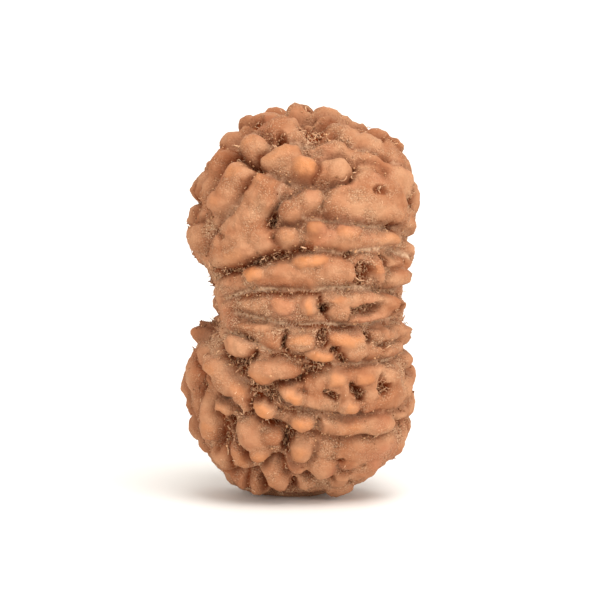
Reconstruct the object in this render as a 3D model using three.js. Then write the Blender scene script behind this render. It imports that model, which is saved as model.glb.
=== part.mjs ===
// A rudraksha seed: the hard stone of the fruit, standing on one of its long ends.
// It is one natural body. Face lines run over it from the mouth of the stringing channel on its left
// to the one on its right, and the ribs between the lines are chains of rounded knobs with small pits.
// Millimetres, +Z up, origin on the ground under the middle of the seed. The front looks along -Y.
import * as THREE from 'three';
import { mergeVertices } from 'three/addons/utils/BufferGeometryUtils.js';

// Driving dimensions of the whole seed
const HEIGHT = 39.2;
const MIDDLE = HEIGHT / 2;
const HALF_DEPTH = 11.6;
const FULLNESS = 2.4;

// Distance from the middle of the seed to its smooth body in the upright plane from left to right,
// every 15 degrees, from the right side over the top
const OUTLINE_RADII = [
  10.0, 10.3, 11.7, 15.3, 17.7, 17.8, 18.5, 18.6, 16.8, 14.3, 12.3, 10.2,
  9.2, 9.8, 13.1, 15.6, 18.5, 19.8, 19.6, 19.3, 17.8, 14.7, 11.6, 9.9,
];

// The stringing channel lies level, its left mouth turned a little to the front
const CHANNEL_TURN = THREE.MathUtils.degToRad(12);
const MOUTH_DEPTH = 2.4;
const MOUTH_SPREAD = THREE.MathUtils.degToRad(17);

// Features of the front are placed as they look from a little above the level
const SIGHT_TILT = THREE.MathUtils.degToRad(7);
const ACROSS = new THREE.Vector3(1, 0, 0);
const UPWARDS = new THREE.Vector3(0, Math.sin(SIGHT_TILT), Math.cos(SIGHT_TILT));
const TOWARDS = new THREE.Vector3(0, -Math.cos(SIGHT_TILT), Math.sin(SIGHT_TILT));

// Knobs of the front: across, height above the ground, length, width, tilt in degrees, rise.
// The knobs stand on low ribs.
const LOW_RIBS = [
  [-4.0, 36.8, 6.0, 3.0, 15, 0.6],
  [5.0, 36.4, 8.0, 2.2, -24, 0.6],
  [4.8, 34.4, 7.0, 2.8, -22, 0.6],
  [-9.0, 31.2, 8.0, 2.6, 66, 0.6],
  [-10.2, 26.4, 7.0, 2.6, 90, 0.7],
  [-7.0, 30.6, 6.4, 2.8, 55, 0.9],
  [-4.4, 29.6, 6.6, 3.2, 48, 0.8],
  [-0.3, 28.8, 5.0, 2.6, 28, 0.8],
  [1.2, 32.6, 7.6, 2.4, 4, 0.9],
  [-3.2, 25.4, 6.0, 2.4, 10, 0.9],
  [-3.4, 19.1, 6.5, 2.2, 0, 0.6],
  [-4.6, 15.8, 7.0, 2.6, -12, 0.6],
  [4.2, 15.2, 6.0, 2.8, -5, 0.6],
  [6.2, 10.8, 9.4, 4.0, 3, 0.7],
  [6.0, 7.2, 8.6, 1.9, 5, 0.8],
  [-7.2, 11.4, 6.4, 2.4, -52, 0.8],
  [-9.1, 8.0, 5.6, 1.8, 92, 0.8],
  [-10.9, 10.4, 8.6, 2.3, 90, 0.8],
  [-4.8, 5.8, 5.4, 3.4, -48, 0.6],
  [0.4, 4.2, 4.4, 3.4, 0, 0.6],
  [-4.0, 2.5, 7.6, 2.2, -12, 0.5],
];
const CROWN_KNOBS = [
  [-0.3, 38.2, 2.8, 2.2, 0, 1.2],
  [-4.2, 37.3, 4.8, 1.9, 14, 0.9],
  [-2.4, 36.8, 3.4, 2.4, -35, 1.0],
  [-1.1, 35.7, 2.4, 1.9, -50, 0.9],
  [-5.6, 37.0, 2.2, 1.6, 25, 1.0],
  [-4.9, 34.5, 2.8, 2.4, 10, 1.4],
  [-7.2, 35.3, 3.0, 1.9, 42, 1.0],
  [2.4, 38.1, 3.0, 2.0, 0, 1.6],
  [4.0, 38.0, 1.9, 1.6, -30, 1.4],
  [5.4, 37.0, 3.4, 1.5, -25, 1.2],
  [7.4, 36.1, 2.6, 1.4, -28, 1.2],
  [9.0, 34.8, 2.0, 1.8, -20, 1.3],
  [8.1, 35.1, 2.6, 1.8, -15, 1.1],
  [4.1, 35.9, 4.0, 1.4, -20, 1.0],
  [6.4, 34.8, 3.0, 1.6, -42, 1.1],
  [2.9, 34.3, 3.4, 1.3, -4, 1.2],
  [6.4, 33.3, 4.4, 1.2, -22, 0.8],
  [9.6, 32.6, 5.6, 3.2, -68, 1.0],
];
const UPPER_LEFT_KNOBS = [
  [-8.2, 33.1, 3.8, 1.9, 66, 1.5],
  [-9.3, 33.4, 2.1, 1.4, 66, 1.0],
  [-10.2, 31.4, 3.2, 2.0, 85, 1.4],
  [-9.3, 30.6, 3.0, 1.5, 62, 1.2],
  [-10.6, 28.0, 2.6, 2.2, 80, 1.3],
  [-9.4, 28.3, 2.0, 1.5, 60, 0.8],
  [-10.2, 25.9, 3.2, 2.4, 95, 1.5],
  [-11.0, 25.5, 3.2, 1.5, 97, 0.9],
  [-10.2, 24.2, 2.8, 1.8, 105, 1.2],
  [-6.4, 31.5, 3.0, 2.7, 60, 1.5],
  [-7.5, 29.9, 3.6, 2.3, 52, 1.4],
  [-8.3, 29.1, 1.8, 1.7, 45, 1.5],
];
const UPPER_FRONT_KNOBS = [
  [-2.1, 33.5, 4.3, 2.0, 16, 1.6],
  [0.1, 32.4, 2.4, 2.2, 0, 1.7],
  [3.3, 32.3, 3.0, 2.3, 0, 1.3],
  [-4.0, 31.3, 1.9, 1.7, 70, 1.5],
  [-3.8, 30.1, 3.8, 3.0, 45, 1.2],
  [-5.0, 29.6, 2.2, 1.8, 50, 1.1],
  [-3.7, 29.4, 1.2, 0.9, 30, 1.4],
  [-3.3, 28.7, 1.2, 1.0, 40, 1.3],
  [-1.3, 28.3, 2.4, 2.3, 30, 1.5],
  [0.6, 29.4, 2.8, 2.1, 10, 1.3],
  [-1.6, 25.8, 2.4, 2.1, 0, 1.6],
  [-4.1, 25.9, 2.8, 1.9, 5, 1.3],
  [-6.2, 26.3, 5.6, 4.0, 42, 1.0],
  [-5.2, 27.6, 3.0, 2.2, 40, 1.0],
  [-8.0, 24.3, 3.6, 2.2, 65, 1.2],
  [-6.2, 23.9, 3.8, 2.2, 25, 1.3],
  [-3.6, 24.9, 2.4, 1.4, 25, 1.2],
  [5.2, 29.3, 5.6, 4.2, 10, 1.1],
  [3.6, 30.2, 2.4, 1.6, 35, 1.2],
  [8.2, 29.4, 4.6, 4.0, -10, 1.0],
  [6.3, 31.4, 3.4, 2.0, -20, 0.9],
  [3.2, 28.6, 2.2, 2.2, 0, 1.2],
  [8.9, 27.9, 2.8, 1.8, -5, 1.1],
  [11.0, 30.4, 4.4, 1.6, -85, 1.0],
  [10.6, 27.0, 2.2, 1.4, 80, 0.9],
];
const WAIST_KNOBS = [
  [1.3, 26.5, 2.0, 1.8, 0, 1.5],
  [4.5, 26.1, 2.6, 1.8, 0, 1.5],
  [8.0, 25.6, 2.2, 1.5, 0, 1.5],
  [4.8, 25.4, 9.4, 2.0, -3, 1.0],
  [1.0, 25.3, 2.2, 1.5, 0, 1.1],
  [10.4, 24.5, 2.0, 1.8, -20, 1.6],
  [0.6, 23.4, 3.9, 1.5, 4, 1.6],
  [-4.8, 22.2, 2.3, 1.5, 0, 1.5],
  [-2.6, 22.4, 2.2, 1.7, 10, 1.2],
  [-1.0, 22.1, 9.6, 2.4, 3, 0.9],
  [3.2, 22.4, 3.2, 2.8, 0, 0.9],
  [4.6, 22.4, 1.2, 2.2, 0, 1.1],
  [6.9, 22.4, 2.7, 1.1, -60, 1.3],
  [8.6, 23.4, 2.2, 1.2, -10, 1.0],
  [9.2, 22.2, 2.6, 1.9, 0, 1.0],
  [10.4, 22.2, 2.2, 2.0, 0, 1.6],
  [-7.6, 21.6, 2.0, 1.4, 20, 0.7],
  [-5.2, 19.2, 2.8, 1.5, 0, 0.8],
  [-2.0, 19.0, 2.4, 1.9, 0, 1.2],
  [0.5, 19.0, 1.9, 2.1, 0, 1.3],
  [5.6, 19.7, 6.6, 1.2, 0, 1.2],
  [3.5, 18.6, 1.9, 2.2, 0, 1.1],
  [6.3, 17.9, 4.2, 0.9, 2, 1.0],
  [7.9, 18.9, 1.4, 2.2, 0, 1.0],
  [8.9, 18.1, 2.0, 1.0, 20, 0.9],
  [10.1, 19.2, 2.0, 1.5, -8, 1.6],
  [-7.7, 19.0, 6.4, 1.6, 90, 0.7],
  [-5.0, 16.8, 3.6, 1.2, -12, 1.0],
  [-7.0, 17.3, 1.6, 1.2, -10, 0.7],
  [-2.9, 15.7, 2.4, 1.5, -10, 1.0],
  [-0.2, 15.5, 2.9, 1.9, -3, 1.4],
  [-6.3, 15.0, 2.8, 2.2, -12, 1.4],
  [1.7, 14.1, 2.8, 1.3, -5, 1.6],
  [4.1, 15.7, 3.2, 1.7, -12, 1.5],
  [5.0, 14.7, 2.2, 2.2, -40, 1.3],
  [6.8, 16.2, 1.2, 1.3, 0, 1.1],
  [8.4, 16.2, 2.6, 1.6, 5, 0.9],
  [8.8, 14.7, 2.8, 1.3, 8, 0.9],
  [6.6, 14.6, 1.8, 1.4, 0, 0.8],
  [10.1, 16.1, 2.3, 2.2, 0, 1.6],
];
const LOWER_FRONT_KNOBS = [
  [-4.1, 12.4, 2.6, 2.3, 0, 1.5],
  [-2.3, 12.7, 4.4, 1.8, -3, 1.4],
  [-1.2, 10.4, 3.0, 1.6, -30, 1.7],
  [-3.8, 9.0, 2.5, 1.4, -22, 1.7],
  [-0.1, 7.6, 2.5, 1.4, -5, 1.6],
  [-2.1, 9.2, 2.4, 0.9, -25, 0.6],
  [3.2, 11.9, 2.2, 1.6, 0, 1.3],
  [5.8, 11.9, 1.9, 1.4, 0, 1.3],
  [8.5, 12.0, 1.2, 2.0, 0, 1.2],
  [10.4, 11.6, 1.4, 3.0, 0, 1.2],
  [10.3, 13.5, 2.0, 1.8, 60, 1.1],
  [5.2, 12.3, 7.6, 1.3, 6, 0.9],
  [1.2, 11.3, 2.0, 1.8, 20, 0.9],
  [0.9, 9.8, 2.4, 1.9, 0, 0.9],
  [3.9, 10.6, 1.0, 2.2, 10, 1.1],
  [6.4, 10.3, 1.3, 2.0, 0, 1.0],
  [4.3, 9.2, 2.3, 1.5, 0, 1.4],
  [8.8, 10.0, 3.6, 2.4, 15, 1.0],
  [6.7, 9.2, 2.0, 1.5, 0, 0.8],
  [10.4, 9.4, 1.6, 2.4, 0, 1.0],
  [4.2, 7.1, 3.6, 1.6, 2, 1.2],
  [2.3, 7.2, 1.6, 1.3, 0, 0.8],
  [7.6, 7.2, 2.6, 1.3, 5, 1.3],
  [9.6, 8.3, 2.2, 1.5, 45, 1.0],
  [10.2, 6.4, 2.6, 1.4, 80, 0.9],
  [5.2, 4.6, 4.6, 2.8, 8, 0.9],
  [7.9, 4.9, 3.6, 3.0, 25, 0.9],
  [9.3, 5.0, 3.6, 1.4, 60, 0.9],
  [6.2, 2.9, 4.2, 1.4, 22, 0.8],
  [2.0, 5.1, 2.2, 2.0, 0, 0.7],
];
const LOWER_LEFT_KNOBS = [
  [-8.5, 13.1, 2.2, 1.7, -20, 1.4],
  [-7.5, 11.6, 3.2, 2.2, -50, 1.3],
  [-6.1, 10.3, 3.4, 1.5, -68, 1.4],
  [-7.8, 9.1, 1.8, 1.5, -10, 1.4],
  [-9.2, 8.6, 3.4, 1.3, 95, 1.3],
  [-8.9, 6.9, 2.4, 1.5, 85, 1.4],
  [-10.7, 13.0, 4.6, 2.2, 84, 1.2],
  [-11.3, 11.3, 3.6, 1.5, 97, 1.1],
  [-10.9, 9.2, 2.8, 1.3, 100, 1.0],
  [-10.5, 6.9, 2.6, 1.5, 93, 1.1],
  [-9.7, 5.3, 2.6, 1.4, 105, 0.9],
  [-5.2, 6.1, 3.9, 2.3, -58, 1.4],
  [-4.4, 4.5, 1.9, 1.8, -30, 1.5],
  [-3.1, 6.2, 2.4, 1.4, -22, 1.5],
  [-5.7, 7.2, 1.8, 1.3, -20, 1.2],
  [-0.3, 4.9, 2.2, 2.2, 0, 1.5],
  [-6.1, 4.4, 3.0, 1.6, -60, 1.3],
  [-7.9, 3.7, 3.6, 2.4, -35, 1.0],
  [-8.5, 5.3, 1.6, 1.4, 0, 0.7],
  [-2.8, 2.3, 3.0, 1.9, -65, 1.5],
  [-1.0, 3.2, 2.6, 1.3, -10, 1.2],
  [-6.2, 1.9, 2.4, 1.6, -55, 1.1],
  [-4.7, 1.3, 2.8, 1.7, -70, 1.3],
  [1.8, 3.1, 2.6, 2.2, 10, 1.3],
  [3.4, 1.9, 2.2, 1.4, -10, 0.9],
  [0.3, 1.6, 2.0, 1.2, -5, 0.9],
  [3.6, 0.9, 2.6, 1.3, 5, 0.8],
];

// Pits of the front: across, height above the ground, length, width, tilt in degrees, depth
const PITS = [
  [-4.6, 37.1, 1.7, 0.8, 28, 0.8],
  [-2.1, 35.4, 1.2, 0.8, -50, 1.2],
  [0.4, 37.9, 1.2, 0.8, 0, 0.7],
  [2.9, 35.6, 1.0, 0.8, -35, 0.6],
  [3.9, 35.0, 1.3, 0.5, -35, 0.5],
  [7.4, 35.2, 1.1, 0.6, 100, 0.9],
  [8.3, 35.0, 1.2, 0.8, 10, 0.5],
  [8.1, 33.3, 1.3, 0.5, -28, 0.5],
  [-4.7, 32.5, 1.7, 0.7, -30, 0.9],
  [-8.0, 30.9, 1.8, 0.8, 80, 0.6],
  [7.2, 30.1, 1.1, 0.9, 10, 0.6],
  [10.5, 29.9, 2.2, 0.8, -83, 0.8],
  [-7.7, 25.8, 0.7, 0.6, 0, 0.4],
  [-3.0, 27.4, 1.7, 0.8, 60, 1.2],
  [9.0, 26.7, 1.4, 0.5, -20, 0.8],
  [-8.8, 22.6, 1.3, 0.6, -50, 0.7],
  [4.4, 24.1, 1.1, 0.6, 20, 0.6],
  [5.8, 22.1, 2.3, 1.4, 75, 1.3],
  [7.6, 23.2, 1.7, 0.7, -72, 0.8],
  [2.1, 18.6, 1.0, 0.7, 0, 1.2],
  [5.9, 18.8, 2.6, 0.9, 3, 0.9],
  [9.0, 18.8, 1.1, 1.0, 20, 0.9],
  [8.5, 17.4, 0.6, 0.5, 0, 0.5],
  [1.9, 15.9, 1.8, 1.2, 85, 1.3],
  [3.1, 14.8, 0.9, 0.6, 0, 1.0],
  [3.8, 14.1, 1.3, 0.7, -60, 1.0],
  [6.0, 15.9, 1.2, 0.7, 70, 0.8],
  [7.7, 14.9, 1.4, 0.7, 70, 0.4],
  [9.7, 15.9, 0.9, 0.7, 30, 0.5],
  [-1.9, 15.5, 1.1, 0.5, 75, 0.8],
  [-5.5, 16.0, 1.3, 0.4, -35, 0.6],
  [-7.8, 14.8, 1.4, 0.6, -60, 0.8],
  [2.6, 10.3, 1.5, 1.1, -25, 1.0],
  [5.1, 10.7, 2.0, 1.0, -48, 1.2],
  [7.6, 11.0, 1.3, 1.2, 70, 1.2],
  [7.4, 11.9, 0.9, 0.8, 60, 0.5],
  [9.5, 12.4, 1.1, 0.6, -58, 0.8],
  [-1.5, 5.8, 1.8, 0.9, 75, 1.1],
  [3.6, 3.9, 0.9, 0.6, 65, 0.7],
  [4.2, 2.6, 1.1, 0.5, 5, 0.4],
];

// Hollows of the front, sunk between its knobs, written like the pits
const HOLLOWS = [
  [-4.0, 35.6, 3.6, 0.9, -12, 0.5],
  [-2.5, 34.9, 1.4, 1.0, 60, 0.6],
  [1.1, 36.3, 3.2, 1.6, -20, 0.6],
  [-6.9, 33.5, 2.4, 0.9, 60, 0.9],
  [-5.2, 32.9, 1.8, 0.8, -25, 0.7],
  [-8.1, 30.9, 2.0, 0.8, 75, 0.5],
  [4.8, 32.1, 2.4, 0.7, 70, 0.5],
  [-3.1, 27.5, 1.9, 0.9, 60, 0.7],
  [-8.9, 22.6, 1.4, 0.8, -50, 0.5],
  [-5.6, 22.9, 5.0, 0.9, 20, 0.6],
  [-3.0, 24.0, 2.8, 1.0, 5, 0.6],
  [-7.6, 22.0, 1.8, 1.0, -10, 0.4],
  [-7.9, 14.7, 1.6, 0.9, -60, 0.6],
  [-6.1, 12.9, 2.6, 1.6, -25, 0.7],
  [-4.0, 10.5, 3.0, 2.0, -25, 0.7],
  [-0.9, 11.8, 2.4, 0.8, -5, 0.6],
  [-5.9, 8.6, 2.2, 0.8, -10, 0.5],
  [-3.4, 7.5, 2.8, 0.8, -18, 0.6],
  [-7.9, 6.3, 3.0, 1.5, 100, 0.5],
  [-7.0, 7.2, 3.0, 0.7, -55, 0.7],
  [-1.5, 5.8, 2.6, 1.2, 80, 0.8],
  [-7.6, 4.8, 1.6, 0.9, -40, 0.5],
  [1.9, 15.8, 2.0, 1.3, 85, 0.5],
  [0.9, 12.8, 2.6, 1.0, 0, 0.6],
  [3.5, 14.3, 1.8, 1.2, -50, 0.5],
  [-10.2, 10.6, 2.2, 0.9, 95, 0.5],
  [-3.8, 1.6, 1.6, 0.6, -80, 0.6],
  [-1.3, 1.4, 1.6, 1.2, 0, 0.7],
  [-1.9, 8.9, 2.8, 0.7, -25, 0.5],
];

// Face lines of the front, from left to right: depth, width, points as across and height.
// Each runs on round the right side to the mouth of the stringing channel.
const FACE_LINES = [
  [1.0, 0.6, [
    [-6.5, 36.7], [-3.7, 37.2], [-0.8, 37.4], [1.0, 37.0], [3.4, 36.8], [5.4, 36.1], [7.2, 35.5],
    [9.6, 34.0],
  ]],
  [0.6, 0.5, [
    [-6.0, 35.8], [-3.6, 35.6], [-2.4, 35.0], [1.3, 34.9], [2.4, 35.3], [4.4, 34.7], [6.8, 33.8],
    [8.6, 33.0], [10.4, 31.7],
  ]],
  [0.7, 0.5, [[0.0, 27.7], [2.5, 27.4], [4.5, 27.2], [6.5, 26.9], [8.6, 26.7], [9.6, 26.6], [10.3, 26.1]]],
  [0.7, 0.5, [
    [-8.8, 21.6], [-6.8, 22.4], [-4.2, 23.5], [-2.0, 24.0], [0.4, 24.7], [2.2, 24.5], [4.5, 24.3],
    [9.6, 24.0],
  ]],
  [0.8, 0.5, [
    [-8.0, 19.7], [-6.2, 20.3], [-4.0, 20.6], [-1.0, 20.5], [1.0, 20.5], [3.0, 20.8], [6.0, 20.7],
    [9.8, 20.7],
  ]],
  [0.8, 0.5, [
    [-6.8, 18.3], [-5.4, 17.9], [-4.0, 17.7], [-2.4, 17.3], [0.0, 17.1], [2.2, 17.2], [5.6, 17.2],
    [7.5, 17.3], [9.7, 17.8],
  ]],
  [0.7, 0.5, [
    [-7.6, 16.6], [-6.3, 16.2], [-5.0, 15.6], [-3.8, 14.8], [-2.6, 14.4], [-0.3, 13.9], [1.0, 13.2],
    [3.0, 13.2], [5.0, 13.3], [7.0, 13.5], [9.3, 14.1], [10.3, 14.5],
  ]],
  [0.7, 0.5, [
    [-7.2, 12.9], [-5.6, 11.5], [-4.2, 10.9], [-2.8, 10.1], [-1.2, 9.1], [0.5, 8.6], [2.5, 8.2],
    [5.0, 8.2], [8.0, 8.6], [10.6, 9.6],
  ]],
  [0.9, 0.5, [
    [-1.6, 6.6], [0.4, 6.4], [2.0, 6.2], [4.3, 6.0], [5.8, 6.2], [7.2, 6.2], [8.4, 6.8], [9.2, 7.5],
    [9.9, 8.2],
  ]],
];

// Shorter crevices between knobs of the front, written like the face lines
const CREVICES = [
  [1.0, 0.5, [[-6.2, 35.5], [-6.5, 34.6], [-6.1, 33.6], [-5.3, 33.1], [-4.5, 32.6], [-4.1, 32.2]]],
  [0.9, 0.5, [[-1.5, 34.8], [-2.6, 34.4], [-3.6, 33.9], [-4.4, 33.4], [-4.4, 32.6], [-3.7, 31.9]]],
  [1.4, 0.7, [[-6.7, 34.4], [-7.1, 33.5], [-7.7, 32.4], [-8.3, 31.2], [-8.8, 30.2], [-9.2, 29.0]]],
  [0.6, 0.5, [[-8.5, 34.8], [-7.6, 34.5], [-6.9, 34.5]]],
  [0.6, 0.4, [[-8.9, 34.1], [-8.9, 32.8], [-9.4, 31.9], [-9.9, 31.0], [-10.0, 30.1], [-10.3, 29.3]]],
  [0.8, 0.5, [[-4.4, 31.9], [-5.2, 30.8], [-5.9, 29.8]]],
  [0.9, 0.6, [[-5.9, 29.8], [-6.6, 28.9], [-7.4, 28.1], [-8.3, 27.2]]],
  [0.9, 0.5, [[-8.3, 27.2], [-8.8, 26.3], [-9.2, 25.1], [-9.5, 24.2]]],
  [0.5, 0.5, [[-11.1, 27.1], [-9.9, 27.2], [-9.0, 28.0]]],
  [0.9, 0.6, [
    [-3.6, 31.8], [-2.4, 31.8], [-1.2, 31.3], [0.0, 30.9], [1.2, 30.7], [2.2, 30.6], [3.2, 30.8],
    [4.2, 31.0],
  ]],
  [0.5, 0.5, [[-2.0, 31.2], [-2.4, 30.2], [-2.2, 29.4]]],
  [0.7, 0.4, [[0.9, 31.3], [1.4, 32.2], [1.2, 33.2]]],
  [0.7, 0.5, [
    [0.2, 34.0], [1.3, 33.3], [2.4, 33.4], [3.8, 33.5], [4.5, 33.0], [5.2, 32.3], [4.7, 31.6], [4.1, 31.0],
  ]],
  [0.6, 0.4, [[3.3, 35.3], [4.4, 34.7], [5.4, 34.2], [6.6, 33.9], [7.4, 33.6], [8.6, 33.0]]],
  [0.5, 0.4, [[5.3, 33.1], [6.6, 32.9], [8.1, 32.1]]],
  [1.0, 0.5, [[-3.3, 26.6], [-2.8, 27.7], [-2.3, 28.9], [-1.4, 29.8], [-0.5, 30.3]]],
  [0.6, 0.5, [[-3.0, 26.7], [-1.8, 27.0], [-0.5, 27.0], [0.4, 27.8], [1.6, 28.0], [2.6, 27.7]]],
  [0.5, 0.5, [[-2.8, 26.4], [-2.9, 25.6], [-2.4, 24.8]]],
  [1.2, 0.8, [
    [-8.4, 22.2], [-6.8, 22.5], [-5.4, 23.0], [-4.0, 23.7], [-2.8, 24.1], [-1.6, 24.0], [-0.6, 24.5],
    [0.4, 24.8],
  ]],
  [0.8, 0.4, [[-6.4, 19.8], [-5.0, 20.1], [-3.0, 20.2], [-1.0, 20.2], [0.2, 20.3], [1.6, 20.2]]],
  [0.7, 0.4, [[1.6, 19.8], [1.8, 18.8], [2.3, 17.9], [2.7, 17.2]]],
  [0.9, 0.4, [[-1.6, 17.3], [0.0, 17.0], [2.0, 17.1], [3.4, 16.9], [5.0, 17.0]]],
  [0.9, 0.4, [[-3.1, 14.1], [-1.8, 14.3], [-0.8, 14.0], [0.3, 13.8], [1.2, 13.2], [2.6, 13.1]]],
  [0.8, 0.5, [[-1.7, 16.4], [-1.9, 15.4], [-1.6, 14.6]]],
  [1.1, 0.6, [[-8.4, 15.3], [-7.8, 14.6], [-7.3, 13.8], [-6.3, 13.5], [-5.2, 13.8], [-4.8, 14.4]]],
  [0.9, 0.5, [
    [-5.4, 12.0], [-4.6, 11.3], [-3.4, 11.0], [-2.4, 11.4], [-1.0, 11.8], [0.2, 12.1], [1.0, 12.7],
  ]],
  [1.0, 0.5, [[-5.2, 9.7], [-4.6, 8.3], [-3.6, 7.8], [-2.6, 7.4], [-1.7, 6.7], [-1.9, 5.6], [-1.5, 4.4]]],
  [0.9, 0.5, [[-9.7, 13.9], [-9.5, 12.6], [-9.0, 11.6], [-8.3, 10.4], [-7.0, 9.7], [-6.4, 8.8]]],
  [1.2, 0.5, [[-7.8, 8.4], [-7.2, 7.7], [-6.8, 6.8], [-6.3, 5.8], [-5.7, 4.9], [-5.0, 4.0], [-4.1, 3.6]]],
  [1.0, 0.5, [[-10.1, 14.4], [-10.0, 12.4], [-9.9, 11.0], [-9.9, 9.4], [-10.0, 8.0]]],
  [0.6, 0.5, [[-9.9, 8.2], [-9.8, 6.8], [-9.6, 5.2]]],
  [1.0, 0.5, [[-8.5, 10.2], [-8.4, 8.6], [-8.0, 7.4], [-8.0, 6.0], [-8.3, 5.0]]],
  [0.8, 0.5, [[-7.3, 5.9], [-7.1, 4.6], [-6.9, 3.2]]],
  [0.5, 0.5, [[1.4, 8.0], [1.6, 7.0], [1.2, 6.3]]],
  [0.6, 0.5, [[-1.9, 4.3], [-1.4, 3.8], [0.2, 3.7], [1.0, 4.4], [1.4, 5.6]]],
  [1.2, 0.5, [[-3.9, 3.6], [-3.0, 4.1], [-2.2, 3.7], [-1.4, 2.6], [-0.4, 2.4], [1.0, 2.1], [2.8, 2.1]]],
  [1.2, 0.5, [[-7.0, 2.7], [-6.0, 2.9], [-5.0, 2.8], [-4.1, 2.7], [-3.8, 1.9], [-3.6, 1.0]]],
  [1.0, 0.5, [[-5.5, 2.8], [-5.3, 1.8], [-5.0, 0.9]]],
  [0.6, 0.5, [[10.0, 7.6], [9.8, 6.0], [9.0, 4.0]]],
];

// The knob on the back rim of the left mouth: across, depth and height of its middle from the seed's
// middle, then length, width and rise
const BACK_RIM_KNOB = [-9.8, 2.2, -3.5, 2.2, 2.0, 1.9];

// Face lines of the back, by rule: their angles about the channel, and the share of the way from the
// left mouth to the right one between which each runs
const RANDOM_SEED = 21;
const DRAW_FACTOR = 1664525;
const DRAW_SHIFT = 1013904223;
const DRAW_RANGE = 4294967296;
const HIDDEN_LINES = 12;
const HIDDEN_LINE_FROM = THREE.MathUtils.degToRad(86);
const HIDDEN_LINE_TO = THREE.MathUtils.degToRad(278);
const HIDDEN_LINE_SCATTER = 0.02;
const HIDDEN_LINE_START = 0.12;
const HIDDEN_LINE_END = 0.9;
const HIDDEN_LINE_PACE = 0.095;
const HIDDEN_LINE_DEPTH = 1.0;
const HIDDEN_LINE_WIDTH = 0.8;
const WAVE_HEIGHT = THREE.MathUtils.degToRad(2.2);
const WAVE_PACE = 9;

// Knobs of the sides and the back, by rule: each length, width, rise and step is drawn between a least
// share of its usual value and that share plus a range
const RIB_END = 0.42;
const RIB_SCATTER = 0.035;
const DOUBLE_RIB_GAP = 0.55;
const KNOB_SPACING = 3.3;
const SPACING_LEAST = 0.8;
const SPACING_RANGE = 0.45;
const KNOB_LENGTH = 3.7;
const KNOB_RISE = 1.35;
const SIZE_LEAST = 0.75;
const SIZE_RANGE = 0.5;
const KNOB_WIDTH = 2.5;
const NARROW_LEAST = 0.8;
const NARROW_RANGE = 0.35;
const KNOB_TILT = THREE.MathUtils.degToRad(28);
const KNOB_CLEARANCE = 1.5;
const HEADING_STEP = 0.02;

// Pits between those knobs
const PIT_SHARE = 0.3;
const PIT_SIZE = 1.5;
const PIT_NARROWNESS = 0.8;
const PIT_DEPTH = 1.1;
const PIT_SCATTER = 0.05;

// Knobs by rule stand where the body faces the back by this much or more, and stay low at the rim of the
// shown face
const FACE_LIMIT = -0.12;
const RIM_LEAST = 0.3;
const RIM_FROM = 0.1;
const RIM_RANGE = 0.4;

// Shape of one knob, one crevice and one pit. Crevices are cut deeper and broader than they look, so that
// they stay open between the triangles.
const KNOB_SQUARENESS = 2.4;
const KNOB_SPREAD = 0.53;
const KNOB_FALLOFF = 0.5;
const KNOB_BLEND = 6;
const FACING_FROM = 0.1;
const FACING_RANGE = 0.4;
const FORESHORTENING_LIMIT = 0.5;
const HOLLOW_CLEAR = 0.9;
const CREVICE_DEEPENING = 1.15;
const CUT_SHARE = 0.75;
const SHOULDER_SHARE = 0.35;
const SHOULDER_WIDTH = 2.2;
const LINE_STEP = 0.35;

// The flat spot that the seed rests on, and how far round it the surface comes up
const FOOT_ACROSS = -0.8;
const FOOT_BACK = 0.4;
const FLAT_RADIUS = 2.9;
const FOOT_BLEND = 1.6;

// Fineness of the solid: 20 * (FINENESS + 1) squared triangles, closer together at the two ends,
// with corners near a crevice drawn towards its bottom
const FINENESS = 23;
const END_CLOSENESS = 1.15;
const DRAW_REACH = 0.38;
const DRAW_SHARE = 0.8;
const MERGE_DISTANCE = 1e-5;

// Steps of the measuring: how far the body is nudged for its slope, how deep below the surface a line of
// sight may start, how much it is drawn in until it does, and how often its stretch is halved
const SLOPE_STEP = 0.05;
const START_DEPTH = 0.05;
const DRAW_IN = 0.99;
const HALVINGS = 30;
const GIRTH_STEPS = 720;
const ROUNDING = 1e-9;

const CHANNEL_RIGHT = new THREE.Vector3(Math.cos(CHANNEL_TURN), Math.sin(CHANNEL_TURN), 0);
const CHANNEL_LEFT = CHANNEL_RIGHT.clone().negate();
const CHANNEL_FRONT = new THREE.Vector3(Math.sin(CHANNEL_TURN), -Math.cos(CHANNEL_TURN), 0);

// A repeatable draw between 0 and 1
let randomState = RANDOM_SEED;
function draw() {
  randomState = (Math.imul(randomState, DRAW_FACTOR) + DRAW_SHIFT) >>> 0;
  return randomState / DRAW_RANGE;
}

function spread(amount) {
  return (draw() * 2 - 1) * amount;
}

// Radius of the smooth body in the upright plane, a smooth closed curve through OUTLINE_RADII
function outlineRadius(turn) {
  const count = OUTLINE_RADII.length;
  const place = THREE.MathUtils.euclideanModulo(turn / (2 * Math.PI), 1) * count;
  const index = Math.floor(place);
  const part = place - index;
  const [a, b, c, d] = [count - 1, 0, 1, 2].map((step) => OUTLINE_RADII[(index + step) % count]);
  const slope = c - a;
  const bend = 2 * a - 5 * b + 4 * c - d;
  const twist = 3 * b - 3 * c + d - a;
  return b + 0.5 * (slope * part + bend * part ** 2 + twist * part ** 3);
}

// Distance from the middle to the smooth body with its two channel mouths, in a direction
function bodyRadius(direction) {
  const level = Math.hypot(direction.x, direction.z) / outlineRadius(Math.atan2(direction.z, direction.x));
  const deep = Math.abs(direction.y) / HALF_DEPTH;
  const body = (level ** FULLNESS + deep ** FULLNESS) ** (-1 / FULLNESS);
  const fromMouth = Math.acos(Math.min(1, Math.abs(direction.dot(CHANNEL_LEFT))));
  return body - MOUTH_DEPTH * Math.exp(-((fromMouth / MOUTH_SPREAD) ** 2));
}

function bodyPoint(direction) {
  return direction.clone().multiplyScalar(bodyRadius(direction));
}

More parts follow.
